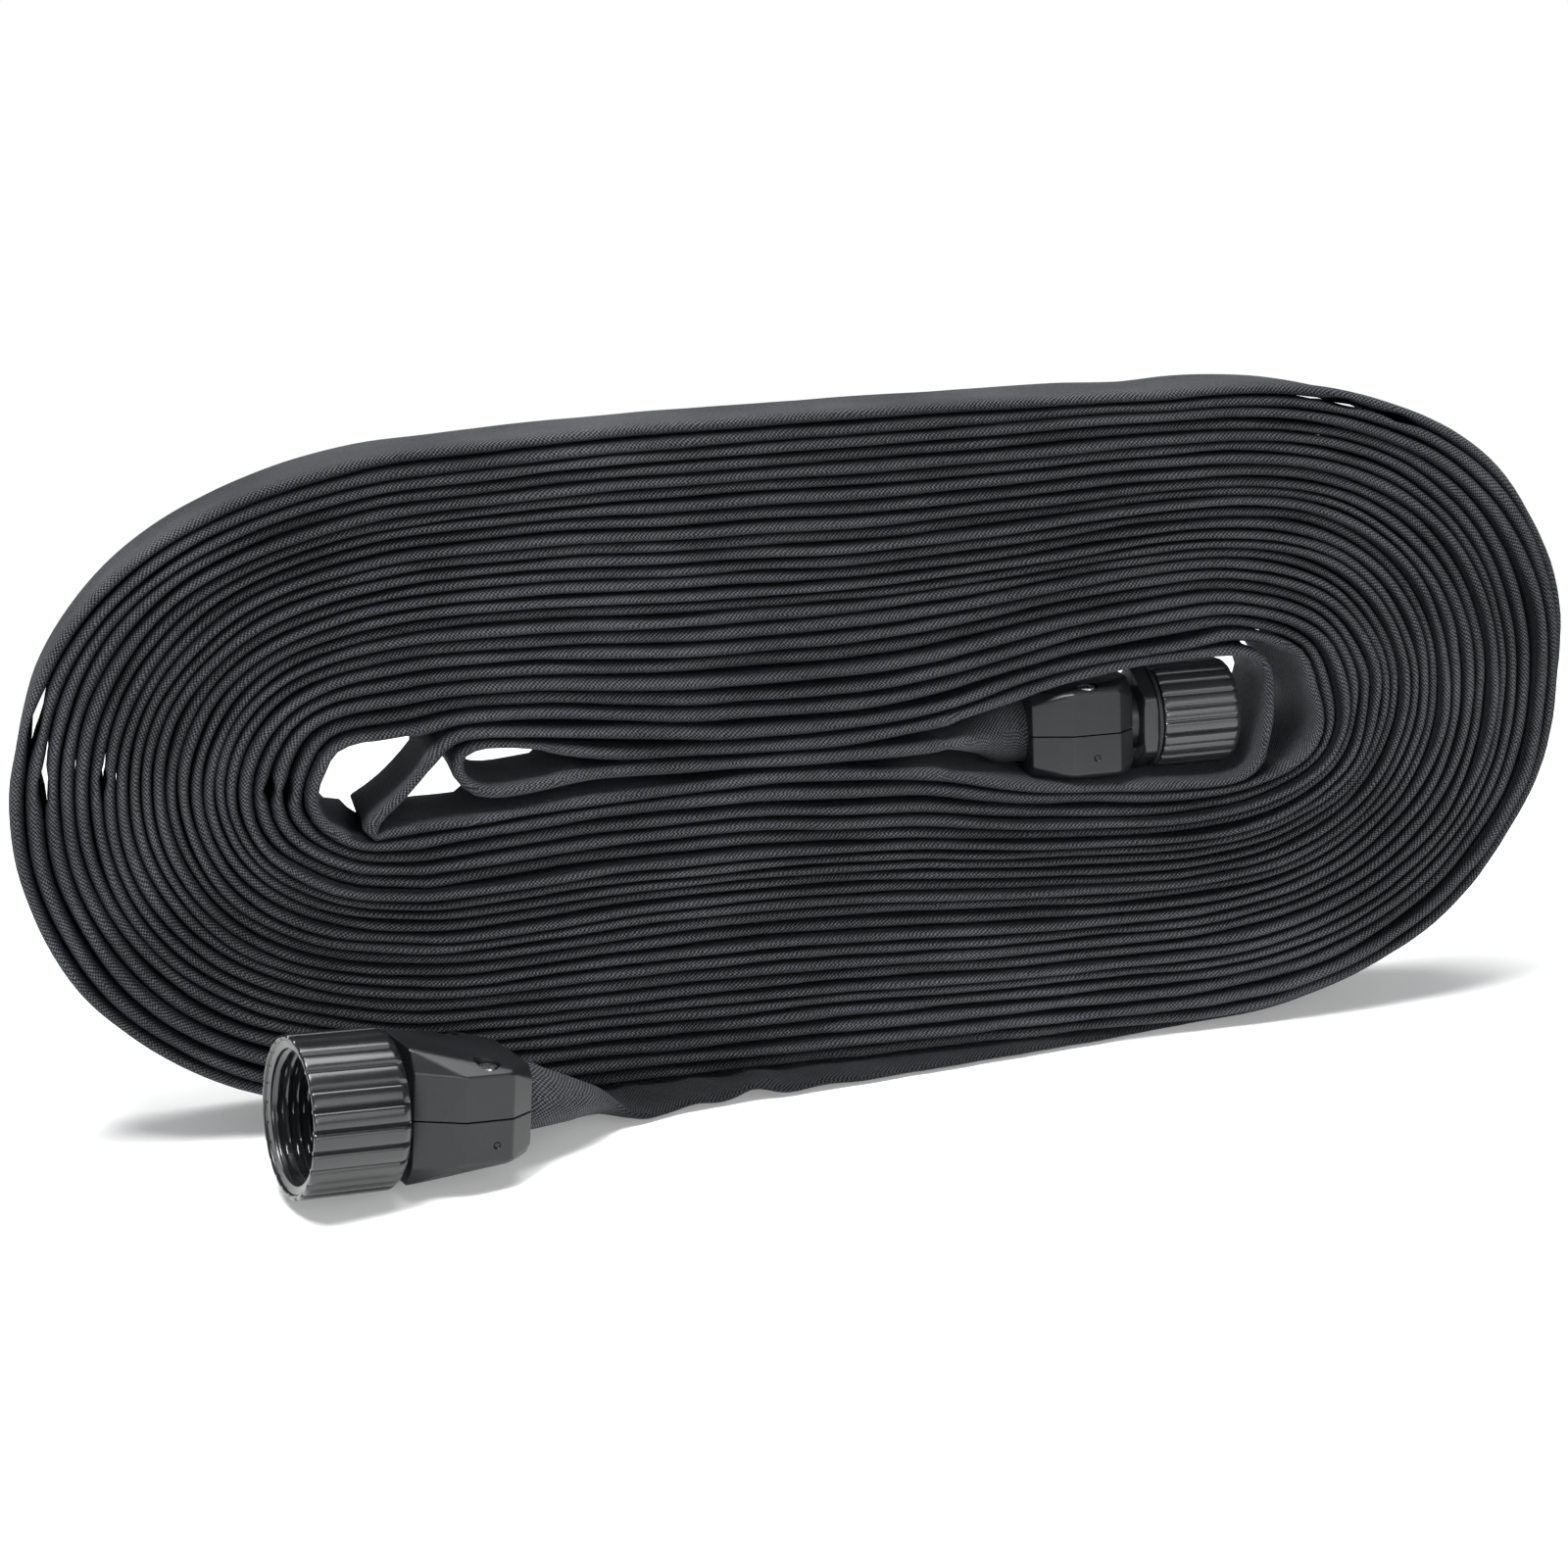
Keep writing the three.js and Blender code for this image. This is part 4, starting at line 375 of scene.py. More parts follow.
-2937,1828,-2894,1918,-2841,2003,-2781,2082,-2713,2155,-2638,2222,-2557,2281,-2471,2331,
-2380,2373,-2287,2408,-2191,2437,-2094,2462,-1996,2482,-1898,2498,-1799,2512,-1699,2522,
-1599,2529,-1500,2535,-1400,2540,-1300,2544,-1200,2547,-1100,2550,-1000,2551,-900,2552,
-800,2551,-700,2551,-600,2552,-500,2552,-400,2553,-300,2554,-200,2554,-100,2553,0,2551,
100,2550,200,2549,300,2549,400,2550,500,2552,600,2555,700,2558,800,2562,900,2566,1000,2569,
1100,2573,1200,2577,1300,2580,1400,2583,1500,2584,1600,2585,1700,2586,1800,2585,1899,2579,
1999,2569,2098,2557,2196,2539,2294,2516,2389,2487,2482,2450,2572,2406,2657,2353,2736,2293,
2810,2225,2877,2151,2934,2069,2982,1981,3022,1890,3055,1795,3080,1699,3095,1600,3100,1500,
3096,1400,3082,1301,3060,1204,3029,1109,2987,1018,2937,932,2879,851,2813,775,2741,706,
2662,645,2579,589,2492,539,2402,496,2309,459,2214,429,2117,405,2019,386,1920,373,1820,365,
1720,359,1620,355,1520,355,1420,356,1320,357,1220,358,1120,358,1020,358,920,358,820,359,
720,361,620,364,520,367,420,370,320,373,220,376,120,378,21,381,-79,383,-179,384,-279,384,
-379,384,-479,385,-579,385,-679,386,-779,385,-879,385,-979,385,-1079,385,-1179,386,-1279,385,
-1379,385,-1479,386,-1579,389,-1679,391,-1779,396,-1879,408,-1977,425,-2075,447,-2172,471,
-2268,498,-2363,528,-2456,565,-2546,610,-2630,662,-2710,722,-2784,789,-2851,864,-2910,944,
-2961,1030,-3002,1122,-3032,1217,-3051,1315,-3060,1414,-3058,1514,-3048,1614,-3028,1712,
-2999,1807,-2961,1899,-2912,1987,-2855,2069,-2791,2146,-2721,2217,-2644,2281,-2560,2334,
-2471,2379,-2379,2418,-2284,2452,-2189,2481,-2092,2505,-1994,2525,-1895,2541,-1796,2553,
-1696,2562,-1597,2570,-1497,2577,-1397,2583,-1297,2587,-1197,2590,-1097,2594,-997,2598,
-897,2600,-797,2602,-697,2603,-597,2604,-497,2604,-397,2605,-297,2606,-197,2605,-97,2604,
3,2603,103,2602,203,2601,303,2602,403,2603,503,2605,603,2608,703,2610,803,2613,902,2617,
1002,2620,1102,2624,1202,2627,1302,2630,1402,2632,1502,2634,1602,2635,1702,2636,1802,2635,
1902,2630,2002,2621,2101,2608,2199,2591,2297,2569,2393,2541,2487,2507,2577,2465,2663,2414,
2743,2354,2818,2288,2888,2216,2949,2138,3003,2053,3047,1964,3084,1871,3114,1775,3135,1678,
3147,1578,3149,1478,3142,1379,3126,1280,3102,1183,3070,1089,3029,998,2979,911,2921,830,
2856,753,2785,683,2708,619,2626,563,2540,512,2450,467,2358,429,2263,397,2167,371,2069,349,
1970,334,1871,324,1771,317,1671,313,1571,311,1471,312,1371,314,1271,315,1171,315,1071,315,
971,315,871,316,771,317,671,320,571,323,471,325,371,328,271,330,171,332,71,334,-29,336,
-129,338,-229,338,-329,339,-429,339,-529,340,-629,340,-729,340,-829,339,-929,339,-1029,340,
-1129,341,-1229,341,-1329,341,-1429,342,-1529,343,-1629,345,-1729,347,-1828,353,-1928,366,
-2026,383,-2124,405,-2221,430,-2317,457,-2412,488,-2504,526,-2592,573,-2676,627,-2755,688,
-2829,756,-2895,831,-2954,912,-3004,998,-3046,1089,-3078,1183,-3100,1281,-3113,1380,
-3116,1480,-3110,1579,-3093,1678,-3068,1775,-3034,1868,-2989,1958,-2937,2043,-2878,2124,
-2813,2200,-2741,2269,-2662,2330,-2577,2382,-2487,2426,-2394,2464,-2300,2497,-2205,2527,
-2108,2551,-2010,2571,-1911,2587,-1812,2602,-1712,2611,-1613,2618,-1513,2625,-1413,2630,
-1313,2634,-1213,2639,-1113,2643,-1013,2646,-913,2649,-813,2650,-713,2651,-613,2652,
-513,2653,-413,2654,-313,2655,-213,2655,-113,2655,-13,2655,87,2654,187,2654,287,2654,
387,2656,487,2658,587,2660,687,2662,786,2664,886,2667,986,2670,1086,2673,1186,2676,1286,2679,
1386,2681,1486,2682,1586,2682,1686,2683,1786,2682,1886,2678,1986,2671,2085,2659,2184,2643,
2282,2623,2378,2597,2473,2566,2566,2529,2655,2483,2738,2427,2815,2364,2887,2295,2953,2219,
3011,2138,3060,2051,3103,1961,3138,1867,3165,1771,3184,1673,3194,1573,3196,1473,3189,1374,
3173,1275,3149,1178,3117,1083,3077,992,3029,904,2973,821,2910,744,2841,671,2766,605,2686,545,
2601,493,2513,446,2422,405,2328,369,2233,339,2136,315,2038,296,1938,283,1839,274,1739,267,
1639,262,1539,261,1439,262,1339,264,1239,265,1139,266,1039,266,939,266,839,267,739,268,
639,270,539,271,439,273,339,274,239,276,139,277,39,279,-61,280,-161,281,-261,281,-361,281,
-461,281,-561,281,-661,281,-761,281,-861,282,-961,285,-1061,287,-1161,288,-1261,288,
-1361,288,-1461,288,-1561,289,-1661,289,-1761,290,-1860,295,-1960,307,-2058,323,-2156,344,
-2253,369,-2349,397,-2444,429,-2536,467,-2624,514,-2709,567,-2789,627,-2863,694,-2931,767,
-2991,848,-3042,933,-3086,1023,-3122,1116,-3150,1212,-3168,1310,-3175,1410,-3175,1510,
-3167,1610,-3151,1708,-3125,1805,-3090,1898,-3048,1989,-2998,2075,-2940,2157,-2874,2232,
-2801,2300,-2722,2361,-2638,2415,-2549,2462,-2458,2501,-2364,2536,-2269,2567,-2172,2593,
-2075,2615,-1976,2633,-1878,2650,-1779,2664,-1679,2672,-1579,2677,-1479,2681,-1379,2686,
-1279,2691,-1180,2696,-1080,2701,-980,2704,-880,2707,-780,2708,-680,2709,-580,2710,-480,2711,
-380,2712,-280,2714,-180,2715,-80,2715,20,2716,120,2717,220,2717,320,2717,420,2718,520,2719,
620,2720,720,2722,820,2724,920,2726,1020,2728,1120,2730,1220,2732,1320,2733,1420,2733,
1520,2732,1620,2733,1720,2733,1820,2732,1920,2726,2020,2717,2119,2705,2217,2687,2315,2666,
2411,2639,2506,2607,2598,2569,2688,2524,2772,2471,2851,2410,2925,2342,2992,2268,3051,2188,
3103,2102,3147,2012,3184,1920,3215,1825,3237,1727,3250,1628,3254,1528,3250,1428,3240,1329,
3222,1231,3196,1134,3162,1040,3120,950,3069,863,3013,781,2950,703,2882,630,2808,563,2728,503,
2644,448,2557,400,2466,358,2373,321,2278,289,2182,263,2084,243,1985,228,1886,218,1786,210,
1686,203,1586,200,1486,201,1386,203,1286,204,1186,205,1086,206,986,205,886,205,786,205,
686,206,586,206,486,206,386,206,286,205,186,205,86,205,-14,206,-114,206,-214,206,-314,206,
-414,206,-514,207,-614,207,-714,208,-814,211,-914,217,-1013,221,-1113,223,-1213,223,
-1313,224,-1413,225,-1513,225,-1613,223,-1713,220,-1813,220,-1913,226,-2012,238,-2111,254,
-2209,276,-2305,302,-2401,332,-2494,367,-2585,408,-2673,457,-2756,511,-2836,572,-2909,640,
-2976,714,-3035,795,-3086,881,-3131,970,-3170,1062,-3202,1157,-3222,1254,-3231,1354,
-3232,1454,-3228,1554,-3217,1653,-3198,1751,-3169,1847,-3134,1941,-3091,2031,-3039,2116,
-2978,2195,-2909,2267,-2833,2333,-2753,2393,-2669,2447,-2582,2495,-2491,2536,-2397,2572,
-2302,2603,-2206,2630,-2109,2653,-2011,2673,-1912,2690,-1813,2705,-1714,2715,-1614,2721,
-1514,2725,-1414,2729,-1314,2734,-1214,2740,-1115,2745,-1015,2749,-915,2752,-815,2754,
-715,2756,-615,2757,-515,2758,-415,2759,-315,2761,-215,2762,-115,2763,-15,2764,85,2765,
185,2765,285,2766,385,2766,485,2768,585,2769,685,2770,785,2772,885,2775,985,2776,1085,2778,
1185,2779,1285,2779,1385,2778,1485,2777,1585,2778,1685,2780,1785,2780,1885,2776,1985,2770,
2084,2759,2183,2745,2281,2726,2379,2703,2474,2674,2568,2640,2660,2601,2749,2555,2833,2501,
2912,2439,2985,2372,3053,2298,3114,2219,3167,2134,3214,2046,3254,1954,3287,1860,3312,1763,
3326,1664,3330,1564,3326,1464,3317,1365,3303,1266,3283,1168,3255,1072,3217,980,3169,892,
3116,807,3059,725,2996,648,2927,575,2853,508,2774,447,2691,392,2604,343,2514,299,2421,260,
2327,227,2231,200,2133,178,2035,160,1936,148,1836,141,1736,135,1636,133,1536,133,1436,135,
1336,137,1236,138,1136,138,1036,138,936,138,836,138,736,138,636,138,536,137,436,136,336,136,
236,135,136,135,36,135,-64,136,-164,137,-264,137,-364,138,-464,139,-564,140,-664,141,
-764,144,-864,148,-963,151,-1063,153,-1163,153,-1263,155,-1363,156,-1463,155,-1563,152,
-1663,147,-1763,143,-1863,144,-1963,152,-2062,164,-2160,182,-2258,204,-2354,231,-2449,263,
-2542,300,-2632,343,-2719,392,-2803,447,-2882,508,-2957,574,-3026,647,-3087,725,-3141,810,
-3187,898,-3228,990,-3262,1083,-3288,1180,-3304,1279,-3309,1378,-3306,1478,-3297,1578,
-3279,1676,-3254,1773,-3225,1869,-3189,1962,-3144,2051,-3089,2134,-3027,2213,-2959,2286,
-2885,2353,-2806,2415,-2723,2471,-2636,2521,-2547,2565,-2455,2603,-2361,2637,-2265,2667,
-2168,2693,-2071,2715,-1973,2733,-1874,2750,-1775,2763,-1675,2770,-1575,2775,-1475,2779,
-1376,2785,-1276,2790,-1176,2795,-1076,2800,-976,2804,-876,2806,-776,2808,-676,2809,
-576,2810,-476,2812,-376,2813,-276,2814,-176,2816,-76,2817,24,2818,124,2818,224,2818,
324,2818,424,2818,524,2819,624,2820,724,2821,824,2822,924,2823,1024,2823,1124,2824,1224,2823,
1324,2822,1424,2819,1524,2818,1624,2820,1724,2823,1824,2824,1924,2820,2023,2813,2123,2803,
2222,2788,2320,2769,2417,2746,2513,2717,2607,2683,2699,2644,2789,2600,2875,2549,2955,2490,
3030,2423,3099,2351,3161,2273,3217,2190,3266,2103,3308,2012,3344,1919,3372,1823,3389,1724,
3396,1625,3395,1525,3390,1425,3380,1325,3365,1227,3343,1129,3313,1034,3273,942,3224,855,
3170,771,3113,689,3050,611,2982,538,2909,470,2830,408,2748,351,2662,301,2573,256,2481,215,
2388,179,2292,150,2196,125,2098,103,1999,87,1900,78,1800,73,1700,70,1600,70,1500,72,1400,74,
1300,76,1200,76,1100,76,1000,76,900,77,800,78,700,78,600,77,500,76,400,76,300,76,200,76,
100,76,0,77,-100,77,-200,78,-300,79,-400,80,-500,81,-600,82,-700,83,-800,85,-900,86,-1000,86,
-1100,87,-1200,88,-1300,88,-1400,88,-1500,85,-1600,81,-1700,75,-1800,73,-1900,77,-1999,86,
-2098,100,-2196,119,-2293,143,-2389,171,-2484,203,-2577,240,-2667,283,-2754,332,-2838,386,
-2919,446,-2995,510,-3067,580,-3133,655,-3190,737,-3239,824,-3282,914,-3318,1007,-3347,1103,
-3369,1200,-3382,1299,-3385,1399,-3380,1499,-3367,1598,-3344,1696,-3317,1792,-3286,1887,
-3249,1980,-3202,2068,-3148,2152,-3087,2231,-3020,2305,-2948,2374,-2871,2438,-2790,2496,
-2704,2549,-2616,2596,-2525,2637,-2433,2675,-2338,2708,-2243,2737,-2146,2762,-2048,2783,
-1950,2802,-1851,2818,-1752,2828,-1652,2833,-1552,2838,-1452,2844,-1352,2849,-1252,2855,
-1152,2860,-1053,2865,-953,2868,-853,2870,-753,2871,-653,2873,-553,2874,-453,2875,-353,2877,
-253,2878,-153,2879,-53,2881,47,2881,147,2881,247,2880,347,2879,447,2879,547,2879,647,2879,
747,2880,847,2879,947,2879,1047,2879,1147,2878,1247,2876,1347,2872,1447,2869,1547,2868,
1647,2872,1747,2876,1847,2876,1947,2872,2047,2865,2146,2855,2245,2840,2343,2821,2440,2797,
2536,2768,2630,2734,2723,2697,2813,2654,2900,2606,2983,2549,3060,2486,3131,2415,3194,2338,
3251,2256,3302,2171,3347,2081,3384,1988,3414,1893,3437,1796,3449,1697,3453,1597,3451,1498,
3445,1398,3435,1299,3419,1200,3397,1103,3366,1008,3325,917,3277,830,3224,745,3167,662,
3105,584,3038,510,2965,441,2888,378,2807,319,2722,267,2634,220,2543,178,2451,140,2356,108,
2259,82,2162,58,2064,39,1965,27,1877,22,
]
# y in 0.1 mm at the last points; y is 0 before them
END_Y = [1, 2, 3, 4, 5, 7, 9, 11, 13, 15, 17, 20, 22, 25, 27, 30, 32, 35, 38, 40, 43, 45,
         48, 50, 51, 53, 54, 55] + [56] * 14
xz_table = np.array(PATH_XZ, dtype=float).reshape(-1, 2) * 0.05
PATH = np.zeros((len(xz_table), 3))
PATH[:, [0, 2]] = xz_table
PATH[-len(END_Y):, 1] = np.array(END_Y) * 0.1
PATH_STEP, STATION_STEP = 5.0, 2.86


def wave(along, lengths, heights, seed):
    """Smooth random ripple: three sines near each wavelength."""
    random = np.random.RandomState(seed)
    total = np.zeros_like(along, dtype=float)
    for length, height in zip(lengths, heights):
        for _ in range(3):
            wavelength = length * (0.75 + 0.5 * random.rand())
            total += height / 1.7 * np.sin(2 * np.pi * along / wavelength + random.rand() * 6.283)
    return total


def catmull(points, u):
    """Catmull-Rom spline through the points, read at the fractional indices u."""
    last = len(points) - 1
    u = np.clip(u, 0, last - 1e-9)
    i = np.floor(u).astype(int)
    t = (u - i)[:, None]
    p0 = points[np.maximum(i - 1, 0)]
    p1, p2 = points[i], points[i + 1]
    p3 = points[np.minimum(i + 2, last)]
    return 0.5 * ((2 * p1) + (-p0 + p2) * t + (2 * p0 - 5 * p1 + 4 * p2 - p3) * t * t
                  + (-p0 + 3 * p1 - 3 * p2 + p3) * t ** 3)


def smoothstep(x):
    x = np.clip(x, 0, 1)
    return x * x * (3 - 2 * x)


def lengths_along(points):
    steps = np.linalg.norm(np.diff(points, axis=0), axis=1)
    return np.concatenate([[0], np.cumsum(steps)])


# --------------------------------------------------------------- hose stations
stations = []


def add_station(centre, half_width, half_thick, roundness, roll=0.0, tangent=None):
    """roundness: 0 is the flat section, 1 an ellipse; roll is in radians."""
    stations.append((centre, half_width, half_thick, roundness, roll, tangent))


# outlet tube, from inside the clamp outwards, then its flattening into the coil
OUT_X, OUT_Y, OUT_Z = OUTLET_ORIGIN
for x in (64.7, 61, 57, 53, 49.5, 47.0):
    add_station((x + OUT_X, OUT_Y, OUT_Z), TUBE_RADIUS, TUBE_RADIUS, 1, tangent=(-1, 0, 0))
FLARE_START, FLARE_END = 45.8, 25.2
for x in np.arange(FLARE_START, FLARE_END, -1.3):
    flare = smoothstep((FLARE_START - x) / (FLARE_START - FLARE_END))
    add_station((x, OUT_Y, OUT_Z + 0.4 * flare),
                TUBE_RADIUS + (HALF_WIDTH - TUBE_RADIUS) * flare ** 0.8,
                min(7.6 * (1 - flare) ** 1.15 + 1.15, 7.6),
                1 - smoothstep((flare - 0.35) / 0.65), tangent=(-1, 0, 0))
n_outlet = len(stations)

n_path = int(len(PATH) * PATH_STEP / STATION_STEP)
path = catmull(PATH, np.linspace(0, len(PATH) - 1, n_path))
path_s = lengths_along(path)
dx, dz = np.gradient(path[:, 0]), np.gradient(path[:, 2])
speed = np.hypot(dx, dz)
inward = np.stack([dz / speed, -dx / speed], 1)      # towards the middle of the coil
forward = np.stack([dx / speed, dz / speed], 1)

# distance from each station to the next turn inwards and outwards
NO_NEIGHBOUR = 9.0
xz = path[:, [0, 2]]
inner_gap = np.full(n_path, NO_NEIGHBOUR)
outer_gap = np.full(n_path, NO_NEIGHBOUR)
for start in range(0, n_path, 400):
    rows = slice(start, start + 400)
    offset = xz[None, :, :] - xz[rows, None, :]
    reach = np.hypot(offset[..., 0], offset[..., 1])
    across = (offset[..., 0] * inward[rows, None, 0]
              + offset[..., 1] * inward[rows, None, 1])
    ignored = ((np.abs(path_s[None, :] - path_s[rows, None]) < 14) | (reach > 7.5)
               | (np.abs(across) < 0.6 * reach))
    inner_gap[rows] = np.where(ignored | (across <= 0), NO_NEIGHBOUR, reach).min(1)
    outer_gap[rows] = np.where(ignored | (across >= 0), NO_NEIGHBOUR, reach).min(1)

free_thick = 1.30 * (1.0 + wave(path_s, [24, 55], [0.035, 0.045], 5))


def half_thickness(gap, share, cap):
    """Fills a share of half the gap; a face with no neighbour keeps its free thickness."""
    filled = np.minimum(cap, 0.5 * gap * share)
    return np.where(gap > 7, np.minimum(free_thick, filled), filled)


rear_cap = np.where(path_s < 1000, 3.3, 2.45)
inner_front = half_thickness(inner_gap, 0.955, 1.75)
outer_front = half_thickness(outer_gap, 0.955, 1.75)
inner_rear = half_thickness(inner_gap, 1.045, rear_cap)
outer_rear = half_thickness(outer_gap, 1.045, rear_cap)

# places where two turns stand apart: x, z, half length
SLITS = [(-164.3, 93.0, 5.5), (-163.2, 79.7, 3.5), (-151.6, 79.6, 2.0), (-119.0, 75.3, 1.6),
         (-115.3, 73.7, 1.4), (119.4, 140.0, 3.0), (131.9, 135.8, 3.0)]
for slit_x, slit_z, half_length in SLITS:
    offset = np.array([slit_x, slit_z])[None, :] - xz
    along = (offset * forward).sum(1)
    across = (offset * inward).sum(1)
    near = np.exp(-(along / half_length) ** 2) * (np.abs(along) < 3 * half_length)
    inner_hit = near * ((across > 0) & (across < 2.9))
    outer_hit = near * ((across < 0) & (across > -2.9))
    for hit, thicknesses in ((inner_hit, (inner_front, inner_rear)),
                             (outer_hit, (outer_front, outer_rear))):
        for thickness in thicknesses:
            thickness *= 1 - 0.62 * hit

# each turn is set forwards or back by its own amount, blended into the next turn
angle = np.degrees(np.arctan2(path[:, 2] - 62.0, path[:, 0])) % 360
turn_count = (np.abs(np.diff(angle)) > 180).sum() + 1
turn_shift = np.clip(np.random.RandomState(21).randn(40) * 0.42, -0.85, 0.85)
turn_pos = path_s / path_s[-1] * turn_count
turn = np.floor(turn_pos).astype(int) % 39
blend = smoothstep((turn_pos - np.floor(turn_pos) - 0.8) / 0.2)
shift = turn_shift[turn] * (1 - blend) + turn_shift[turn + 1] * blend
shift_y = (wave(path_s, [30, 75, 230], [0.14, 0.24, 0.34], 3)
           + (1.5 * shift + wave(path_s, [180, 520], [0.30, 0.45], 31))
           * np.clip(path_s / 300, 0, 1))
shift_y = np.clip(shift_y, -1.9, 2.2)
pinch = wave(path_s, [34, 80], [0.5, 0.5], 6)
coil_roll = np.radians(wave(path_s, [45, 130], [0.25, 0.3], 17))
for (x, y, z), dy, roll in zip(path, shift_y, coil_roll):
    add_station((x, y + dy, z), HALF_WIDTH, 1.0, 0, roll)
n_coil = len(stations)

# tail on the floor, its twist and its flare up to the inlet:
# x, y, z, half width, half thickness, yaw, pitch, roundness, roll (degrees)
MOUTH = 48.3              # distance along the inlet's axis where the tail meets the tube
MOUTH_SIZE = (8.05, 7.3)  # half width, half thickness
TAIL = np.array([
    (92, 5.2, 1.35, 14, 1.15, 9, 0, 0, 0),
    (76, 2.6, 1.2, 14, 1.12, 9, 0, 0, 0),
    (60, -0.4, 1.15, 14, 1.1, 9, 0, 0, 0),
    (36, -4.0, 1.15, 14, 1.1, 8.5, 0, 0, 0),
    (11, -7.6, 1.15, 14, 1.1, 8, 0, 0, 0),
    (-12, -10.4, 1.15, 14, 1.1, 8, 0, 0, 0),
    (-34, -12.8, 1.15, 14, 1.1, 11, 0, 0, 0),
    (-44, -15.0, 1.15, 14, 1.1, 16, 0, 0, 0),
    (-52, -17.9, 1.2, 14, 1.12, 23, 2, 0.02, 0.5),
    (-57.3, -20.9, 1.9, 13.5, 1.35, 31, 12, 0.14, 5),
    (-61.3, -24.7, 3.8, 12.6, 2.3, 38, 22, 0.45, 11),
    (-64.4, -29.2, 6.3, 11.6, 3.7, 43, 25, 0.70, 11),
    (-67.1, -34.2, 8.8, 10.6, 5.0, 42, 24, 0.87, 9),
    (-69.9, -37.4, 10.6, 9.7, 6.0, 37, 24, 0.95, 6),
    (-72.4, -40.2, 12.1, 8.9, 6.8, 29, 20, 1, 3),
    (*(INLET_ORIGIN + MOUTH * INLET_AXIS), *MOUTH_SIZE, INLET_YAW, INLET_TILT, 1, 0),
], float)
tail_s = lengths_along(TAIL[:, :3])
for s in np.arange(0.0, tail_s[-1] - 0.3, 1.6):
    row = np.interp(s, tail_s, np.arange(len(TAIL)))
    x, y, z, wide, thick, yaw, pitch, roundness, roll = catmull(TAIL, np.array([row]))[0]
    yaw, pitch = math.radians(yaw), math.radians(pitch)
    add_station((x, y, max(z, 0.05 + thick if roundness < 0.1 else 0)), wide, thick,
                min(1, max(0, roundness)), math.radians(roll),
                (-math.cos(yaw) * math.cos(pitch), -math.sin(yaw) * math.cos(pitch),
                 math.sin(pitch)))
n_tail = len(stations)
add_station(INLET_ORIGIN + MOUTH * INLET_AXIS, *MOUTH_SIZE, 1, tangent=-INLET_AXIS)
for t in (46.6, 44, 40, 36, 32, 29.5, 27):
    add_station(INLET_ORIGIN + t * INLET_AXIS, TUBE_RADIUS, TUBE_RADIUS, 1,
                tangent=-INLET_AXIS)

centres, half_widths, half_thicks, roundnesses, rolls, tangents = zip(*stations)
centres = np.array(centres, float)
n = len(centres)

# axes of each section: along the hose, across its width, and through its thickness
hose_dir, wide_dir, thick_dir = (np.zeros((n, 3)) for _ in range(3))
for i in range(n):
    if tangents[i] is not None:
        hose_dir[i] = tangents[i]
    else:
        hose_dir[i] = centres[min(i + 1, n - 1)] - centres[max(i - 1, 0)]
hose_dir /= np.linalg.norm(hose_dir, axis=1)[:, None]
for i in range(n):
    if tangents[i] is not None:
        wide = np.cross(hose_dir[i], (0, 0, 1))
    else:
        wide = np.array([0, 1.0, 0]) - hose_dir[i, 1] * hose_dir[i]
    wide = wide / np.linalg.norm(wide)
    if rolls[i]:
        wide = (wide * math.cos(rolls[i])
                + np.cross(hose_dir[i], wide) * math.sin(rolls[i]))
    wide_dir[i] = wide
    thick_dir[i] = np.cross(wide, hose_dir[i])

# flat section (width, thickness; front edge first) and its angles on the ellipse
SECTION = np.array([
    (-14.0, 0.20), (-13.78, 0.52), (-13.15, 0.80), (-11.7, 0.97), (-6, 0.90), (3, 0.84),
    (11.5, 0.97), (13.6, 0.80), (14.0, 0.0), (13.6, -0.80), (11.5, -0.97), (3, -0.84),
    (-6, -0.90), (-11.7, -0.97), (-13.15, -0.80), (-13.78, -0.52), (-14.0, -0.20)])
ROUND_ANGLES = np.radians([170, 153, 135, 114, 91, 67, 42, 20, 0,
                           -20, -42, -67, -91, -114, -135, -153, -170])
RING = len(SECTION)
rear_blend = np.clip((SECTION[:, 0] - 3) / 6, 0, 1)
hose_s = lengths_along(centres)
front_ripple = wave(hose_s, [9, 19, 44], [0.05, 0.11, 0.17], 8)
rear_ripple = wave(hose_s, [25, 60], [0.12, 0.2], 9)
dents = wave(hose_s, [14, 33], [0.07, 0.08], 10)
rings = np.zeros((n, RING, 3))
for i in range(n):
    flat_y = SECTION[:, 0] * (half_widths[i] / HALF_WIDTH)
    flat_z = SECTION[:, 1] * half_thicks[i]
    j = i - n_outlet
    if 0 <= j < n_path:
        softness = 1.0 - 0.13 * max(0.0, pinch[j])
        inner = inner_front[j] * softness * (1 - rear_blend) + inner_rear[j] * rear_blend
        outer = outer_front[j] * softness * (1 - rear_blend) + outer_rear[j] * rear_blend
        flat_z = np.where(SECTION[:, 1] > 0, SECTION[:, 1] * inner, SECTION[:, 1] * outer)
    roundness = roundnesses[i]
    if roundness < 0.5:
        flat_y = (flat_y + np.where(flat_y < -7, -front_ripple[i], 0)
                  + np.where(flat_y > 7, rear_ripple[i] * 0.5, 0))
        flat_z = flat_z + np.where(np.abs(SECTION[:, 0]) < 7,
                                   np.sign(SECTION[:, 1]) * dents[i] * 0.5, 0)
    round_y = half_widths[i] * np.cos(ROUND_ANGLES)
    round_z = half_thicks[i] * np.sin(ROUND_ANGLES)
    y = flat_y * (1 - roundness) + round_y * roundness
    z = flat_z * (1 - roundness) + round_z * roundness
    rings[i] = centres[i] + y[:, None] * wide_dir[i] + z[:, None] * thick_dir[i]

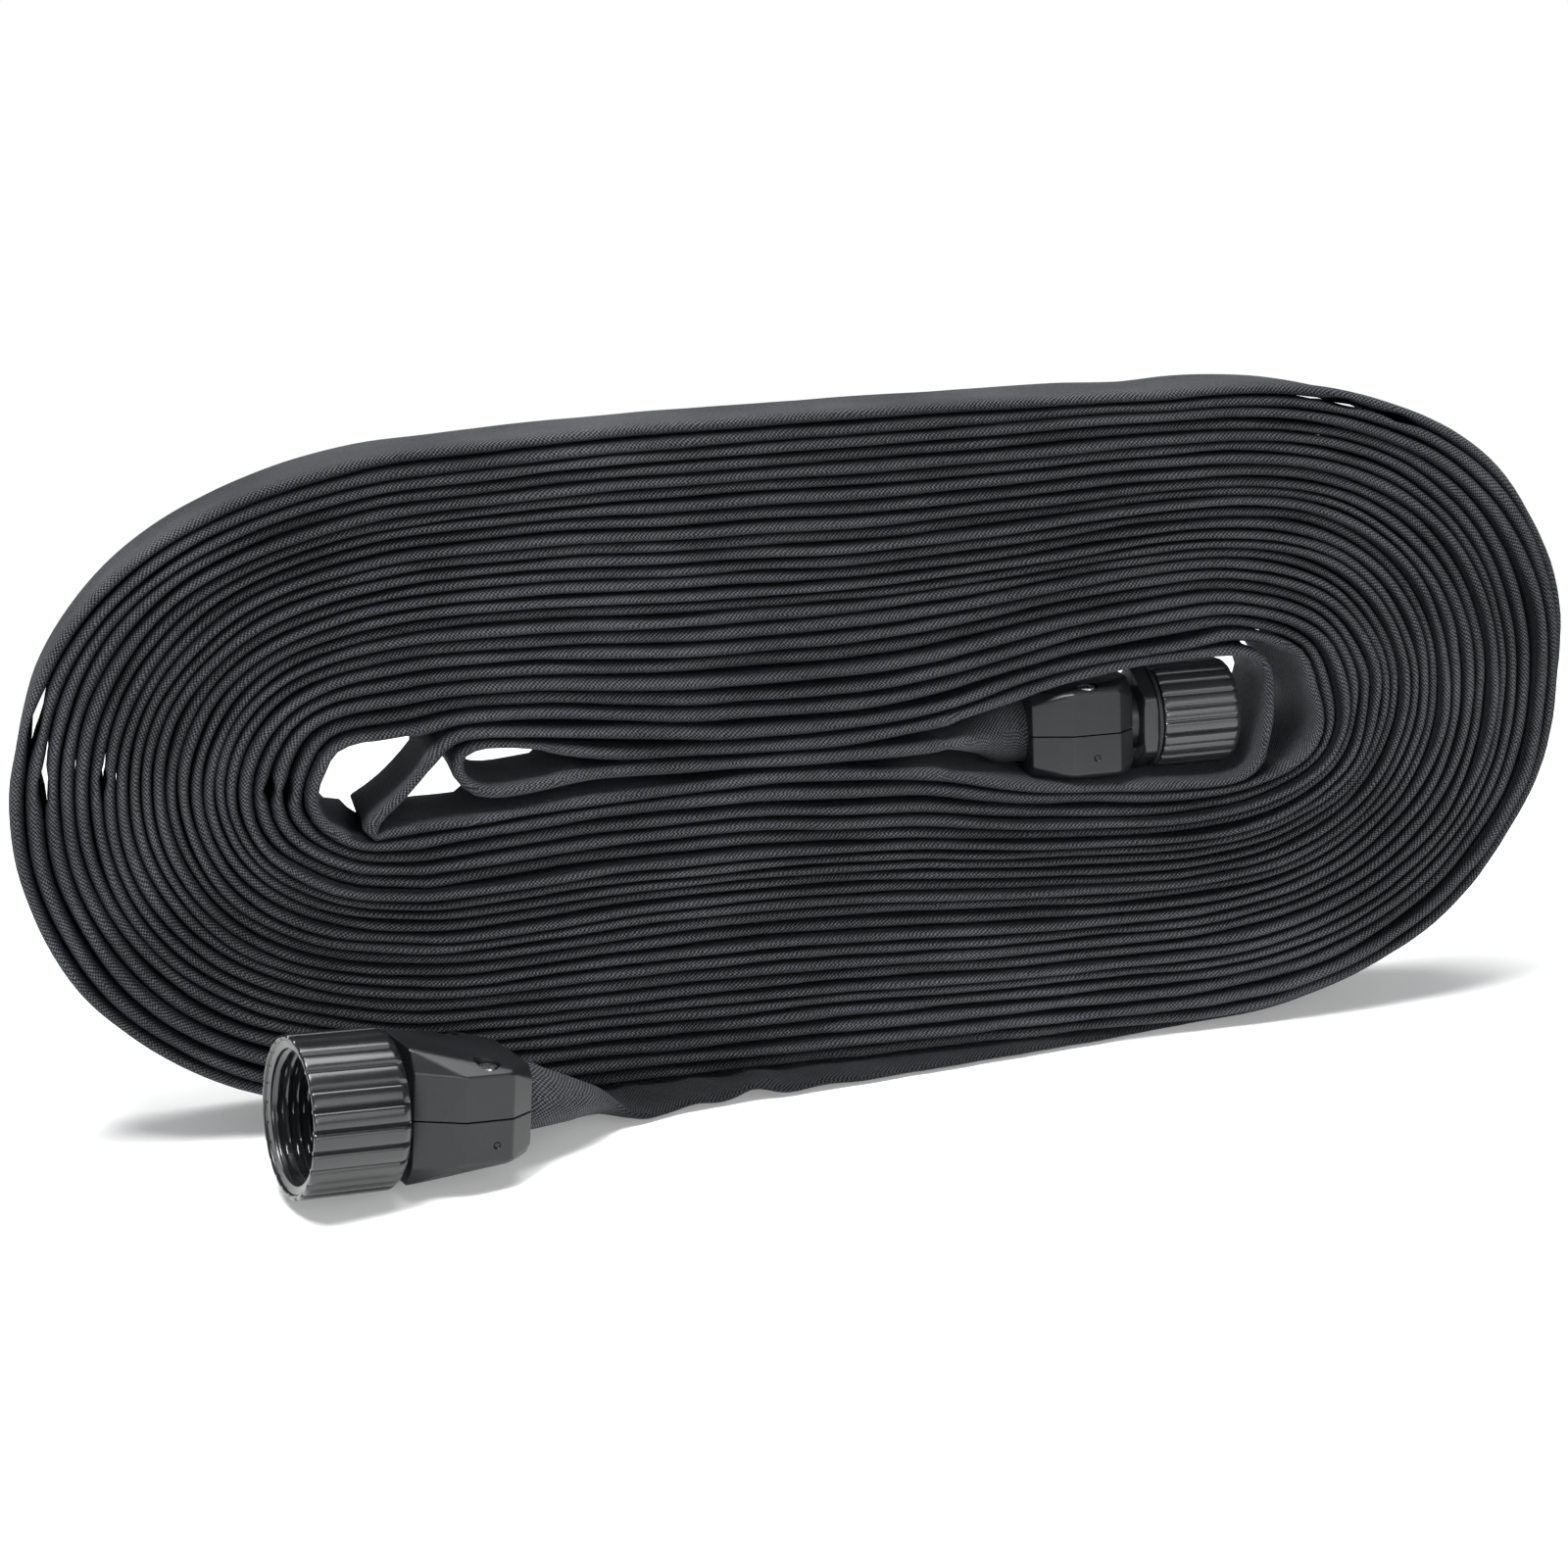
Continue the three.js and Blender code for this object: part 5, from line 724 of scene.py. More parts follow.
# parts of the inner turns that lean; rearness runs from 0 at the front edge to 1
for i in range(n_outlet, n_coil):
    s = path_s[i - n_outlet]
    rearness = (rings[i, :, 1] + HALF_WIDTH) / (2 * HALF_WIDTH)
    if 345 < s < 420 and 12 < centres[i][0] < 60:      # the run under the outlet
        lean = float(smoothstep((centres[i][0] - 14) / 9)
                     * smoothstep((58 - centres[i][0]) / 8))
        rings[i, :, 2] += lean * 2.5 * rearness
    if 279 < s < 332:                                  # the first bend at the +X end
        lean = float(smoothstep((s - 286) / 14) * smoothstep((330 - s) / 16))
        rings[i, :, 0] += (lean * (-0.3 + 1.6 * rearness)
                           + 2.6 * math.exp(-((s - 294) / 5) ** 2) * rearness)
    if 704 < s < 747:                                  # the second bend at the +X end
        lean = float(smoothstep((s - 705) / 14) * smoothstep((746 - s) / 9))
        rings[i, :, 0] -= lean * 1.4 * rearness
        rings[i, :, 2] -= lean * 0.6 * rearness

# wrinkles across the tail, and folds that lift its front edge: x, height, width
FOLDS = [(-24, 1.9, 4.4), (-38, 0.8, 4.0), (-8, 0.5, 5.0)]
for i in range(n_coil, n_tail):
    x = centres[i][0]
    strength = (math.exp(-((x + 30) / 26) ** 2) * 0.5
                + math.exp(-((x + 54) / 8) ** 2) * 0.35)
    for k, (y, z) in enumerate(SECTION):
        phase = 0.95 * x + 0.28 * y
        depth = (strength * (0.55 * math.sin(phase * 0.55) + 0.3 * math.sin(phase * 1.15 + 1.3))
                 * (1 if z > 0 else 0.15))
        rings[i, k] += thick_dir[i] * depth * (1 if thick_dir[i][2] > 0 else -1)
        if x > -50 and y < 0:
            frontness = float(smoothstep(-y / 12))
            for fold_x, height, width in FOLDS:
                q = (x - fold_x - 0.55 * (y + 14)) / width
                rings[i, k, 2] += height * frontness * math.exp(-q * q)
rings[:, :, 2] = np.maximum(rings[:, :, 2], 0.02)


# ------------------------------------------------------------- mesh helpers
def link_object(name, data):
    obj = bpy.data.objects.new(name, data)
    bpy.context.scene.collection.objects.link(obj)
    return obj


def object_from(name, bm):
    mesh = bpy.data.meshes.new(name)
    bm.to_mesh(mesh)
    bm.free()
    return link_object(name, mesh)


def shade_smooth(mesh):
    mesh.polygons.foreach_set("use_smooth", [True] * len(mesh.polygons))


def make_mesh(name, verts, faces, body, *nodes):
    """Mesh from points in millimetres, its faces turned outwards."""
    mesh = bpy.data.meshes.new(name)
    mesh.from_pydata([tuple(v * MM) for v in verts], [], faces)
    mesh.validate()
    bm = bmesh.new()
    bm.from_mesh(mesh)
    if bm.calc_volume(signed=True) < 0:
        bmesh.ops.reverse_faces(bm, faces=bm.faces)
    bm.to_mesh(mesh)
    bm.free()
    obj = link_object(name, mesh)
    shade_smooth(mesh)
    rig.ride(obj, body)
    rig.replaces(obj, *nodes)
    return obj


def mark_sharp(obj, angle=38):
    bm = bmesh.new()
    bm.from_mesh(obj.data)
    for edge in bm.edges:
        if len(edge.link_faces) == 2 and edge.calc_face_angle(0) > math.radians(angle):
            edge.smooth = False
    bm.to_mesh(obj.data)
    bm.free()


# ---------------------------------------------------------------- hose mesh
n_skin = n * RING
faces = []


def bridge(loop_a, loop_b, flip=False):
    for k in range(RING):
        k2 = (k + 1) % RING
        face = (loop_a[k], loop_a[k2], loop_b[k2], loop_b[k])
        faces.append(face[::-1] if flip else face)


def skin_loop(i):
    return range(i * RING, (i + 1) * RING)


for i in range(n - 1):
    for k in range(RING):
        k2 = (k + 1) % RING
        faces.append((i * RING + k, i * RING + k2, (i + 1) * RING + k2, (i + 1) * RING + k))
bore_points = []


def socket(at, flip):
    """Blind bore through the given stations, from the open end inwards."""
    previous = skin_loop(at[0])
    for i in at:
        first = n_skin + len(bore_points)
        for point in rings[i]:
            d = point - centres[i]
            bore_points.append(centres[i] + d * (SOCKET_RADIUS / np.linalg.norm(d)))
        loop = tuple(range(first, first + RING))
        bridge(previous, loop, flip)
        previous = loop
    faces.append(previous[::-1] if flip else previous)


socket(range(5), True)
socket(range(n - 1, n - 7, -1), False)
hose = make_mesh("hose_fabric_jacket", np.vstack([rings.reshape(-1, 3), np.array(bore_points)]),
                 faces, ROOT, "hose_jacket", "hose_liner")


def add_painted_groove_shade():
    """Mask for painted shade: how deep a point lies between two turns, 0 on a free face; the flat tail takes 0.66 of
    it, fading out where it rounds.
    """
    edge_fade = np.interp(np.abs(SECTION[:, 0]), [0, 11.7, 13.15, 13.78, 14.0],
                          [1.0, 1.0, 0.92, 0.42, 0.06])
    inner_near = smoothstep((6.0 - inner_gap) / 1.5)
    outer_near = smoothstep((6.0 - outer_gap) / 1.5)
    groove = np.zeros((n, RING))
    for j in range(n_path):
        groove[n_outlet + j] = edge_fade * np.where(
            SECTION[:, 1] > 0, inner_near[j], np.where(SECTION[:, 1] < 0, outer_near[j], 0))
    # painted shade on the flat tail too, fading out where it rounds into the inlet tube
    for i in range(n_coil, n):
        groove[i] = 0.66 * (1 - min(1.0, max(0.0, (roundnesses[i] - 0.1) / 0.5)))
    values = np.zeros(len(hose.data.vertices), dtype=np.float32)
    values[:n_skin] = groove.reshape(-1)
    hose.data.attributes.new("groove", "FLOAT", "POINT").data.foreach_set("value", values)


def add_weave_uv():
    """UV in millimetres: along the hose, and round it."""
    mesh = hose.data
    girth = np.linalg.norm(np.roll(rings, -1, axis=1) - rings, axis=2)
    around = np.concatenate([np.zeros((n, 1)), np.cumsum(girth, axis=1)], axis=1)
    layer = mesh.uv_layers.new(name="weave")
    vertex = np.zeros(len(mesh.loops), dtype=int)
    mesh.loops.foreach_get("vertex_index", vertex)
    station = np.where(vertex < n_skin, vertex // RING, 0)
    k = np.where(vertex < n_skin, vertex % RING, 0)
    v = around[station, k]
    full_turn = around[station, RING]
    starts = np.zeros(len(mesh.polygons), dtype=int)
    sizes = np.zeros(len(mesh.polygons), dtype=int)
    mesh.polygons.foreach_get("loop_start", starts)
    mesh.polygons.foreach_get("loop_total", sizes)
    # a quad across the seam ends at the full girth, not at 0
    for start in starts[sizes == 4]:
        quad = slice(start, start + 4)
        if k[quad].max() == RING - 1 and k[quad].min() == 0:
            v[quad] = np.where(k[quad] == 0, full_turn[quad], v[quad])
    uv = np.stack([hose_s[station], v], 1).astype(np.float32).reshape(-1)
    layer.data.foreach_set("uv", uv)


add_painted_groove_shade()
add_weave_uv()


# ------------------------------------------------------------------ materials
class Shader:
    """A new material with a Principled surface, and shorthands for its nodes."""

    def __init__(self, name):
        self.material = bpy.data.materials.new(name)
        self.material.use_nodes = True
        self.tree = self.material.node_tree
        self.tree.nodes.clear()
        output = self.node("OutputMaterial")
        self.surface = self.node("BsdfPrincipled")
        self.tree.links.new(self.surface.outputs[0], output.inputs[0])

    def node(self, kind, inputs=None, **settings):
        node = self.tree.nodes.new("ShaderNode" + kind)
        for key, value in settings.items():
            setattr(node, key, value)
        self.feed(node, inputs or {})
        return node

    def feed(self, node, inputs):
        """Links or sets the node's inputs."""
        for key, value in inputs.items():
            if isinstance(value, bpy.types.NodeSocket):
                self.tree.links.new(value, node.inputs[key])
            else:
                node.inputs[key].default_value = value

    def calc(self, operation, *values):
        return self.node("Math", dict(enumerate(values)), operation=operation).outputs[0]

    def ramp(self, factor, *stops):
        node = self.node("ValToRGB", {0: factor})
        elements = node.color_ramp.elements
        while len(elements) < len(stops):
            elements.new(0.5)
        for element, (position, color) in zip(elements, stops):
            element.position = position
            element.color = (*color, 1)
        return node.outputs[0]

    def noise(self, coords, scale, detail):
        inputs = {"Scale": scale, "Detail": detail, "Vector": coords.outputs["Object"]}
        return self.node("TexNoise", inputs).outputs["Fac"]

    def bump(self, height, strength, distance, **normal):
        inputs = {"Strength": strength, "Distance": distance, "Height": height, **normal}
        return self.node("Bump", inputs).outputs[0]


def fabric():
    shader = Shader("black_woven_fabric")
    calc = shader.calc
    uv = shader.node("UVMap", uv_map="weave")
    split = shader.node("SeparateXYZ", {0: uv.outputs[0]})
    coords = shader.node("TexCoord")
    wobble = calc("MULTIPLY_ADD", shader.noise(coords, scale=140, detail=2), 0.6, -0.3)
    u = calc("ADD", split.outputs[0], wobble)
    v = calc("ADD", split.outputs[1], wobble)
    # twill: broad diagonal ribs crossed by finer ones
    RIB_PITCH, CROSS_PITCH = 0.98, 0.76
    rib = calc("SINE", calc("MULTIPLY", calc("ADD", u, v), 2 * math.pi / RIB_PITCH))
    cross = calc("SINE", calc("MULTIPLY", calc("SUBTRACT", u, v), 2 * math.pi / CROSS_PITCH))
    weave = calc("ADD", calc("MULTIPLY_ADD", rib, 0.32, 0.5), calc("MULTIPLY", cross, 0.26))
    fibre = shader.noise(coords, scale=1500, detail=3)
    patches = shader.noise(coords, scale=30, detail=4)
    relief = calc("ADD", calc("MULTIPLY", weave, 0.70), calc("MULTIPLY", fibre, 0.46))
    tone = calc("ADD", relief, calc("MULTIPLY_ADD", patches, 0.5, -0.25))
    color = shader.ramp(tone, (0.22, (0.0020, 0.0022, 0.0026)),
                        (0.54, (0.0190, 0.0200, 0.0220)), (0.90, (0.105, 0.110, 0.118)))
    # painted shade: the grooves between turns, and less so the flat tail, are darkened nearly to black and lose their
    # specular highlights
    groove = shader.node("Attribute", attribute_name="groove")
    unshaded = calc("MULTIPLY_ADD", groove.outputs["Fac"], -0.93, 1.0)
    shade = shader.node("Mix", data_type="RGBA")
    shader.feed(shade, {"Factor": unshaded, "B": color, "A": (0.0004, 0.0004, 0.0005, 1)})
    shader.feed(shader.surface, {
        "Base Color": shade.outputs["Result"],
        "Specular IOR Level": calc("MULTIPLY", unshaded, 0.17),
        "Roughness": calc("MULTIPLY_ADD", weave, -0.15, 0.80),
        "Sheen Weight": 0.05,
        "Sheen Roughness": 0.4,
        "Sheen Tint": (0.75, 0.78, 0.85, 1),
    })
    threads = shader.bump(relief, strength=1.0, distance=0.0004)
    creases = shader.noise(coords, scale=190, detail=3)
    normal = shader.bump(creases, strength=0.55, distance=0.0010, Normal=threads)
    shader.feed(shader.surface, {"Normal": normal})
    return shader.material


def plastic(name, dark, light, rough, grain, coat=0.0, scale=900, specular=0.5):
    """Grained black surface with painted highlights along its pointy edges; grain is the bump strength."""
    shader = Shader(name)
    calc = shader.calc
    coords = shader.node("TexCoord")
    fine = shader.noise(coords, scale, detail=3)
    broad = shader.noise(coords, scale=60, detail=5)
    relief = calc("ADD", calc("MULTIPLY", fine, 0.35), calc("MULTIPLY", broad, 0.65))
    color = shader.ramp(relief, (0.3, dark), (0.7, light))
    geometry = shader.node("NewGeometry")
    edges = shader.ramp(geometry.outputs["Pointiness"], (0.5, (0, 0, 0)), (0.62, (1, 1, 1)))
    # painted highlight: pointy edges made paler, in patches set by the broad noise
    painted_edge_highlight = shader.node("Mix", data_type="RGBA")
    shader.feed(painted_edge_highlight, {
        "Factor": calc("MULTIPLY", edges, calc("MULTIPLY", broad, 0.5)),
        "A": color,
        "B": tuple(min(1, c * 2.6) for c in light) + (1,),
    })
    shader.feed(shader.surface, {
        "Base Color": painted_edge_highlight.outputs["Result"],
        "Roughness": calc("MULTIPLY_ADD", broad, 0.18, rough - 0.09),
        "Coat Weight": coat,
        "Specular IOR Level": specular,
        "Coat Roughness": 0.25,
        "Normal": shader.bump(relief, strength=grain, distance=0.00012),
    })
    return shader.material


def steel():
    shader = Shader("zinc_steel")
    speckle = shader.noise(shader.node("TexCoord"), scale=1500, detail=3)
    shader.feed(shader.surface, {
        "Base Color": shader.ramp(speckle, (0.3, (0.42, 0.42, 0.43)), (0.7, (0.78, 0.78, 0.8))),
        "Metallic": 1,
        "Roughness": shader.calc("MULTIPLY_ADD", speckle, 0.25, 0.15),
    })
    return shader.material


FABRIC = fabric()
NUT = plastic("ribbed_black_plastic", dark=(0.0045, 0.0050, 0.0056),
              light=(0.0110, 0.0120, 0.0132), rough=0.24, grain=0.22, coat=0.35)
# the cap's colours, lighter than the nut's, are painted reflection of the bright floor on its ribs
CAP = plastic("cap_ribbed_black_plastic", dark=(0.012, 0.0130, 0.0140),
              light=(0.024, 0.026, 0.028), rough=0.27, grain=0.22, coat=0.5)
SHELL = plastic("satin_black_plastic", dark=(0.0040, 0.0044, 0.0050),
                light=(0.0100, 0.0108, 0.0120), rough=0.34, grain=0.40, scale=1400,
                specular=0.38)
STEM = plastic("stem_black_plastic", dark=(0.010, 0.0105, 0.011),
               light=(0.020, 0.021, 0.0225), rough=0.38, grain=0.3)
RUBBER = plastic("seal_black_rubber", dark=(0.006, 0.006, 0.006),
                 light=(0.012, 0.012, 0.012), rough=0.7, grain=0.6, scale=600)
STEEL = steel()
hose.data.materials.append(FABRIC)
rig.slot(hose, "jacket_fabric")


# ------------------------------------------------------------ turned parts
def make_frame(origin, yaw=0.0, tilt=0.0):
    rotation = Matrix.Rotation(yaw, 3, "Z") @ Matrix.Rotation(tilt, 3, "Y")
    return np.array(rotation), np.array(origin, float)


# Each fitting lies along its frame's x: the inlet from its mouth towards the hose,
# the outlet from the hose towards its cap.
INLET = make_frame(INLET_ORIGIN, math.radians(INLET_YAW), math.radians(INLET_TILT))
OUTLET = make_frame(OUTLET_ORIGIN)


def place(points, frame):
    rotation, origin = frame
    return np.asarray(points) @ rotation.T + origin


def tagged(tag, *points):
    return [(x, r, tag) for x, r in points]


def revolve(name, node, profile, segments, frame, material, slot, body=ROOT, shape=None):
    """Turns a closed profile of (x, r, tag) about x.

    r is 0 only at the first and last point; shape(x, r, angle, tag) may alter r.
    """
    verts, rows = [], []
    for x, r, tag in profile:
        row = []
        for t in [0.0] if r == 0 else np.arange(segments) / segments * 2 * np.pi:
            radius = shape(x, r, t, tag) if shape and r else r
            row.append(len(verts))
            verts.append((x, radius * math.cos(t), radius * math.sin(t)))
        rows.append(row)
    if profile[0][1] != 0:
        rows.append(rows[0])
    faces = []
    for a, b in zip(rows[:-1], rows[1:]):
        for k in range(segments):
            k2 = (k + 1) % segments
            if len(a) == 1:
                faces.append((a[0], b[k], b[k2]))
            elif len(b) == 1:
                faces.append((a[k], b[0], a[k2]))
            else:
                faces.append((a[k], b[k], b[k2], a[k2]))
    obj = make_mesh(name, place(verts, frame), faces, body, node)
    obj.data.materials.append(material)
    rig.slot(obj, slot)
    mark_sharp(obj)


def rounded(points, radius=0.5, steps=3):
    """Rounds a closed profile's corners, but for those tagged sharp or on the axis."""
    result = []
    for i, (x, r, tag) in enumerate(points):
        if tag == "sharp" or r == 0:
            result.append((x, r, tag))
            continue
        corner = np.array([x, r])
        to_a = np.array(points[i - 1][:2]) - corner
        to_b = np.array(points[(i + 1) % len(points)][:2]) - corner
        length_a, length_b = np.linalg.norm(to_a), np.linalg.norm(to_b)
        cut = min(radius, length_a * 0.45, length_b * 0.45)
        a, b = corner + to_a / length_a * cut, corner + to_b / length_b * cut
        for t in np.linspace(0, 1, steps + 1):
            q = (1 - t) ** 2 * a + 2 * t * (1 - t) * corner + t * t * b
            result.append((q[0], q[1], tag))
    return result


RIB_COUNT = 24
RIB_SEGMENTS = RIB_COUNT * 12


def ribs(outer_radius, depth, phase, width, crown, deep_every=0):
    """Grooves along the grip, with crowned ribs between; every so many cuts deeper."""
    def shape(x, r, t, tag):
        if tag != "grip":
            return r
        position = t / (2 * math.pi) * RIB_COUNT + phase
        ph = position % 1.0
        number = int(round(position)) % RIB_COUNT
        deeper = 1.75 if deep_every and number % deep_every == 1 else 1.0
        groove = 1 - min(1, min(ph, 1 - ph) / width)
        groove = groove * groove * (3 - 2 * groove)
        fade = min(1, max(0, (r - (outer_radius - 1.3)) / 0.8))
        return r - depth * deeper * groove * fade - crown * (2 * abs(ph - 0.5)) ** 2 * fade
    return shape


def thread_rows(x0, x1, radius):
    count = int(round((x1 - x0) / 0.22))
    return tagged("thread", *((x0 + (x1 - x0) * i / count, radius) for i in range(count + 1)))


def with_thread(base, radius, height, pitch, x0, x1):
    """Helical ridge on the thread rows; a negative height points it inwards."""
    def shape(x, r, t, tag):
        if tag != "thread":
            return base(x, r, t, tag)
        ph = ((x - x0) / pitch - t / (2 * math.pi)) % 1.0
        ridge = min(1.0, max(0.0, 1 - abs(ph - 0.5) / 0.30) * 1.35)
        fade = min(1, (x - x0) / pitch, (x1 - x) / (0.6 * pitch))
        return radius + height * ridge * max(0, fade)
    return shape


def barbs(start, pitch, r0, r1):
    """Four tapered rings on a hose stem."""
    return [(start + i * pitch + dx, r) for i in range(4) for dx, r in ((0, r0), (3.4, r1))]


def inlet_nut():
    radius, bore, thread = 16.4, 13.6, (0.9, 10.6)
    profile = (
        tagged("", (0.0, 15.2))
        + tagged("grip", (0.0, 16.35), (1.6, radius), (10.0, radius), (18.6, radius),
                 (20.0, 15.6))
        + tagged("", (20.0, 7.4), (16.2, 7.4), (16.2, 12.9), (11.0, 12.9)))
    profile = (rounded(profile, 0.55) + thread_rows(*thread, bore)[::-1]
               + tagged("sharp", (0.75, 14.2)))
    grip = ribs(radius, depth=0.62, phase=0.35, width=0.17, crown=0.26)
    revolve("inlet_swivel_nut", "inlet_nut", profile, RIB_SEGMENTS, INLET, NUT, "nut_plastic",
            "swivel_nut", with_thread(grip, bore, -1.05, 2.209, *thread))


def washer(name, node, xs, radii, corner, frame, body=ROOT):
    (x0, x1), (r0, r1) = xs, radii
    profile = rounded(tagged("", (x0, r0), (x0, r1), (x1, r1), (x1, r0)), corner)
    revolve(name, node, profile, 96, frame, RUBBER, "seal_rubber", body)


def inlet_stem():
    profile = tagged(
        "", (13.6, 5.0), (13.6, 12.2), (15.8, 12.2), (15.8, 7.0), (24.3, 7.0), (24.3, 8.0),
        (26.4, 8.0), (26.4, 6.0), *barbs(27.4, 4.4, 6.4, 6.0), (45.3, 6.0), (45.3, 5.0))
    revolve("inlet_hose_stem", "inlet_stem", rounded(profile, 0.3), 96, INLET, STEM,
            "stem_plastic")


def outlet_stem():
    """Barbs, collar, neck, hexagon and male thread in one piece."""
    half_flats, root, thread = 10.5, 9.35, (77.2, 88.4)

    def hexagon(x, r, t, tag):
        if tag != "hex":
            return r
        a = (t + math.pi / 6) % (math.pi / 3) - math.pi / 6
        return min(r, half_flats / math.cos(a))

    profile = (
        tagged("", (47.7, 5.0), (47.7, 6.0), *barbs(48.2, 4.2, 6.0, 6.4), (65.2, 6.0),
               (65.2, 8.0), (67.0, 8.0), (67.0, 7.0), (72.3, 7.0))
        + tagged("hex", (72.3, 11.0), (72.6, 12.0), (75.2, 12.0), (75.5, 11.0))
        + tagged("", (75.5, 9.4)))
    profile = (rounded(profile, 0.22, 2) + thread_rows(*thread, root)
               + tagged("", (89.2, 9.0), (89.2, 5.8), (88.4, 5.0)))
    revolve("outlet_threaded_stem", "outlet_stem", profile, 144, OUTLET, STEM, "stem_plastic",
            shape=with_thread(hexagon, root, 0.95, 1.814, *thread))


def outlet_cap():
    radius = 11.8
    profile = (
        tagged("", (92.1, 10.65), (76.9, 10.65))
        + tagged("grip", (76.9, 11.7), (78.2, radius), (85, radius), (93.6, radius),
                 (94.8, 10.9))
        + tagged("", (94.8, 4.0)) + tagged("sharp", (94.6, 3.6)))
    profile = tagged("", (92.1, 0)) + rounded(profile, 0.5) + tagged("", (94.6, 0))
    grip = ribs(radius, depth=0.44, phase=0.2, width=0.19, crown=0.16, deep_every=6)
    revolve("outlet_screw_cap", "outlet_cap", profile, RIB_SEGMENTS, OUTLET, CAP,
            "nut_plastic", "screw_cap", grip)


inlet_nut()
washer("inlet_rubber_washer", "inlet_washer", (10.5, 13.3), (8.0, 12.4), 0.45, INLET)
inlet_stem()
outlet_stem()
washer("outlet_seal", "outlet_seal_ring", (75.75, 76.6), (9.95, 11.3), 0.3, OUTLET)
outlet_cap()
washer("outlet_cap_rubber_washer", "outlet_cap_washer", (89.5, 91.9), (5.5, 10.3), 0.4, OUTLET,
       "cap_travel")

# ------------------------------------------------------------- clamps and screws
CLAMP_HALF_HEIGHT, CLAMP_HALF_WIDTH = 10.0, 15.0
SPLIT = 0.1               # half the gap between the two shells
SCREW_Y = 11.2
# end faces: half width and height of the wall, half width and height of the flat top
HOSE_END = (11.3, 6.8, 9.0, 9.4)
INLET_NOSE = (10.2, 9.8, 7.6, 14.2)
OUTLET_NOSE = (11.3, 7.6, 7.6, 11.2)
# x of both ends and of the full-size middle, cavity along x, screw x, end faces
CLAMPS = {
    "inlet": dict(frame=INLET, xs=(22, 31.5, 41.5, 47), cavity=(24, 49), screw_x=37,
                  ends=(INLET_NOSE, HOSE_END)),
    "outlet": dict(frame=OUTLET, xs=(46, 54.5, 65, 69.3), cavity=(44, 67.3), screw_x=58.5,
                   ends=(HOSE_END, OUTLET_NOSE)),
}


def carve(obj, cutters, frame, node, material, slot, sharp_angle):
    """Cuts the cutters out, places the piece in its frame and registers it."""
    for cutter in cutters:
        cut = obj.modifiers.new("cut", "BOOLEAN")
        cut.operation = "DIFFERENCE"
        cut.object = cutter
        cut.solver = "EXACT"
    evaluated = obj.evaluated_get(bpy.context.evaluated_depsgraph_get())
    mesh = bpy.data.meshes.new_from_object(evaluated)
    obj.modifiers.clear()
    for cutter in cutters:
        bpy.data.objects.remove(cutter, do_unlink=True)
    obj.data = mesh
    points = np.zeros(len(mesh.vertices) * 3)
    mesh.vertices.foreach_get("co", points)
    points = place(points.reshape(-1, 3), frame) * MM
    mesh.vertices.foreach_set("co", points.reshape(-1))
    mesh.update()
    shade_smooth(mesh)
    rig.ride(obj, ROOT)
    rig.replaces(obj, node)
    mesh.materials.clear()
    mesh.materials.append(material)
    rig.slot(obj, slot)
    mark_sharp(obj, sharp_angle)


def cylinder(radius, start, end, at=None, segments=72):
    """Cutter along x on the axis or, given at = (x, y), upright there."""
    bm = bmesh.new()
    bmesh.ops.create_cone(bm, cap_ends=True, radius1=radius, radius2=radius,
                          depth=end - start, segments=segments)
    middle = (start + end) / 2
    if at is None:
        turn = Matrix.Rotation(math.pi / 2, 3, "Y")
        bmesh.ops.rotate(bm, verts=bm.verts, matrix=turn)
    vec = (middle, 0, 0) if at is None else (*at, middle)
    bmesh.ops.translate(bm, verts=bm.verts, vec=vec)
    return object_from("tool", bm)


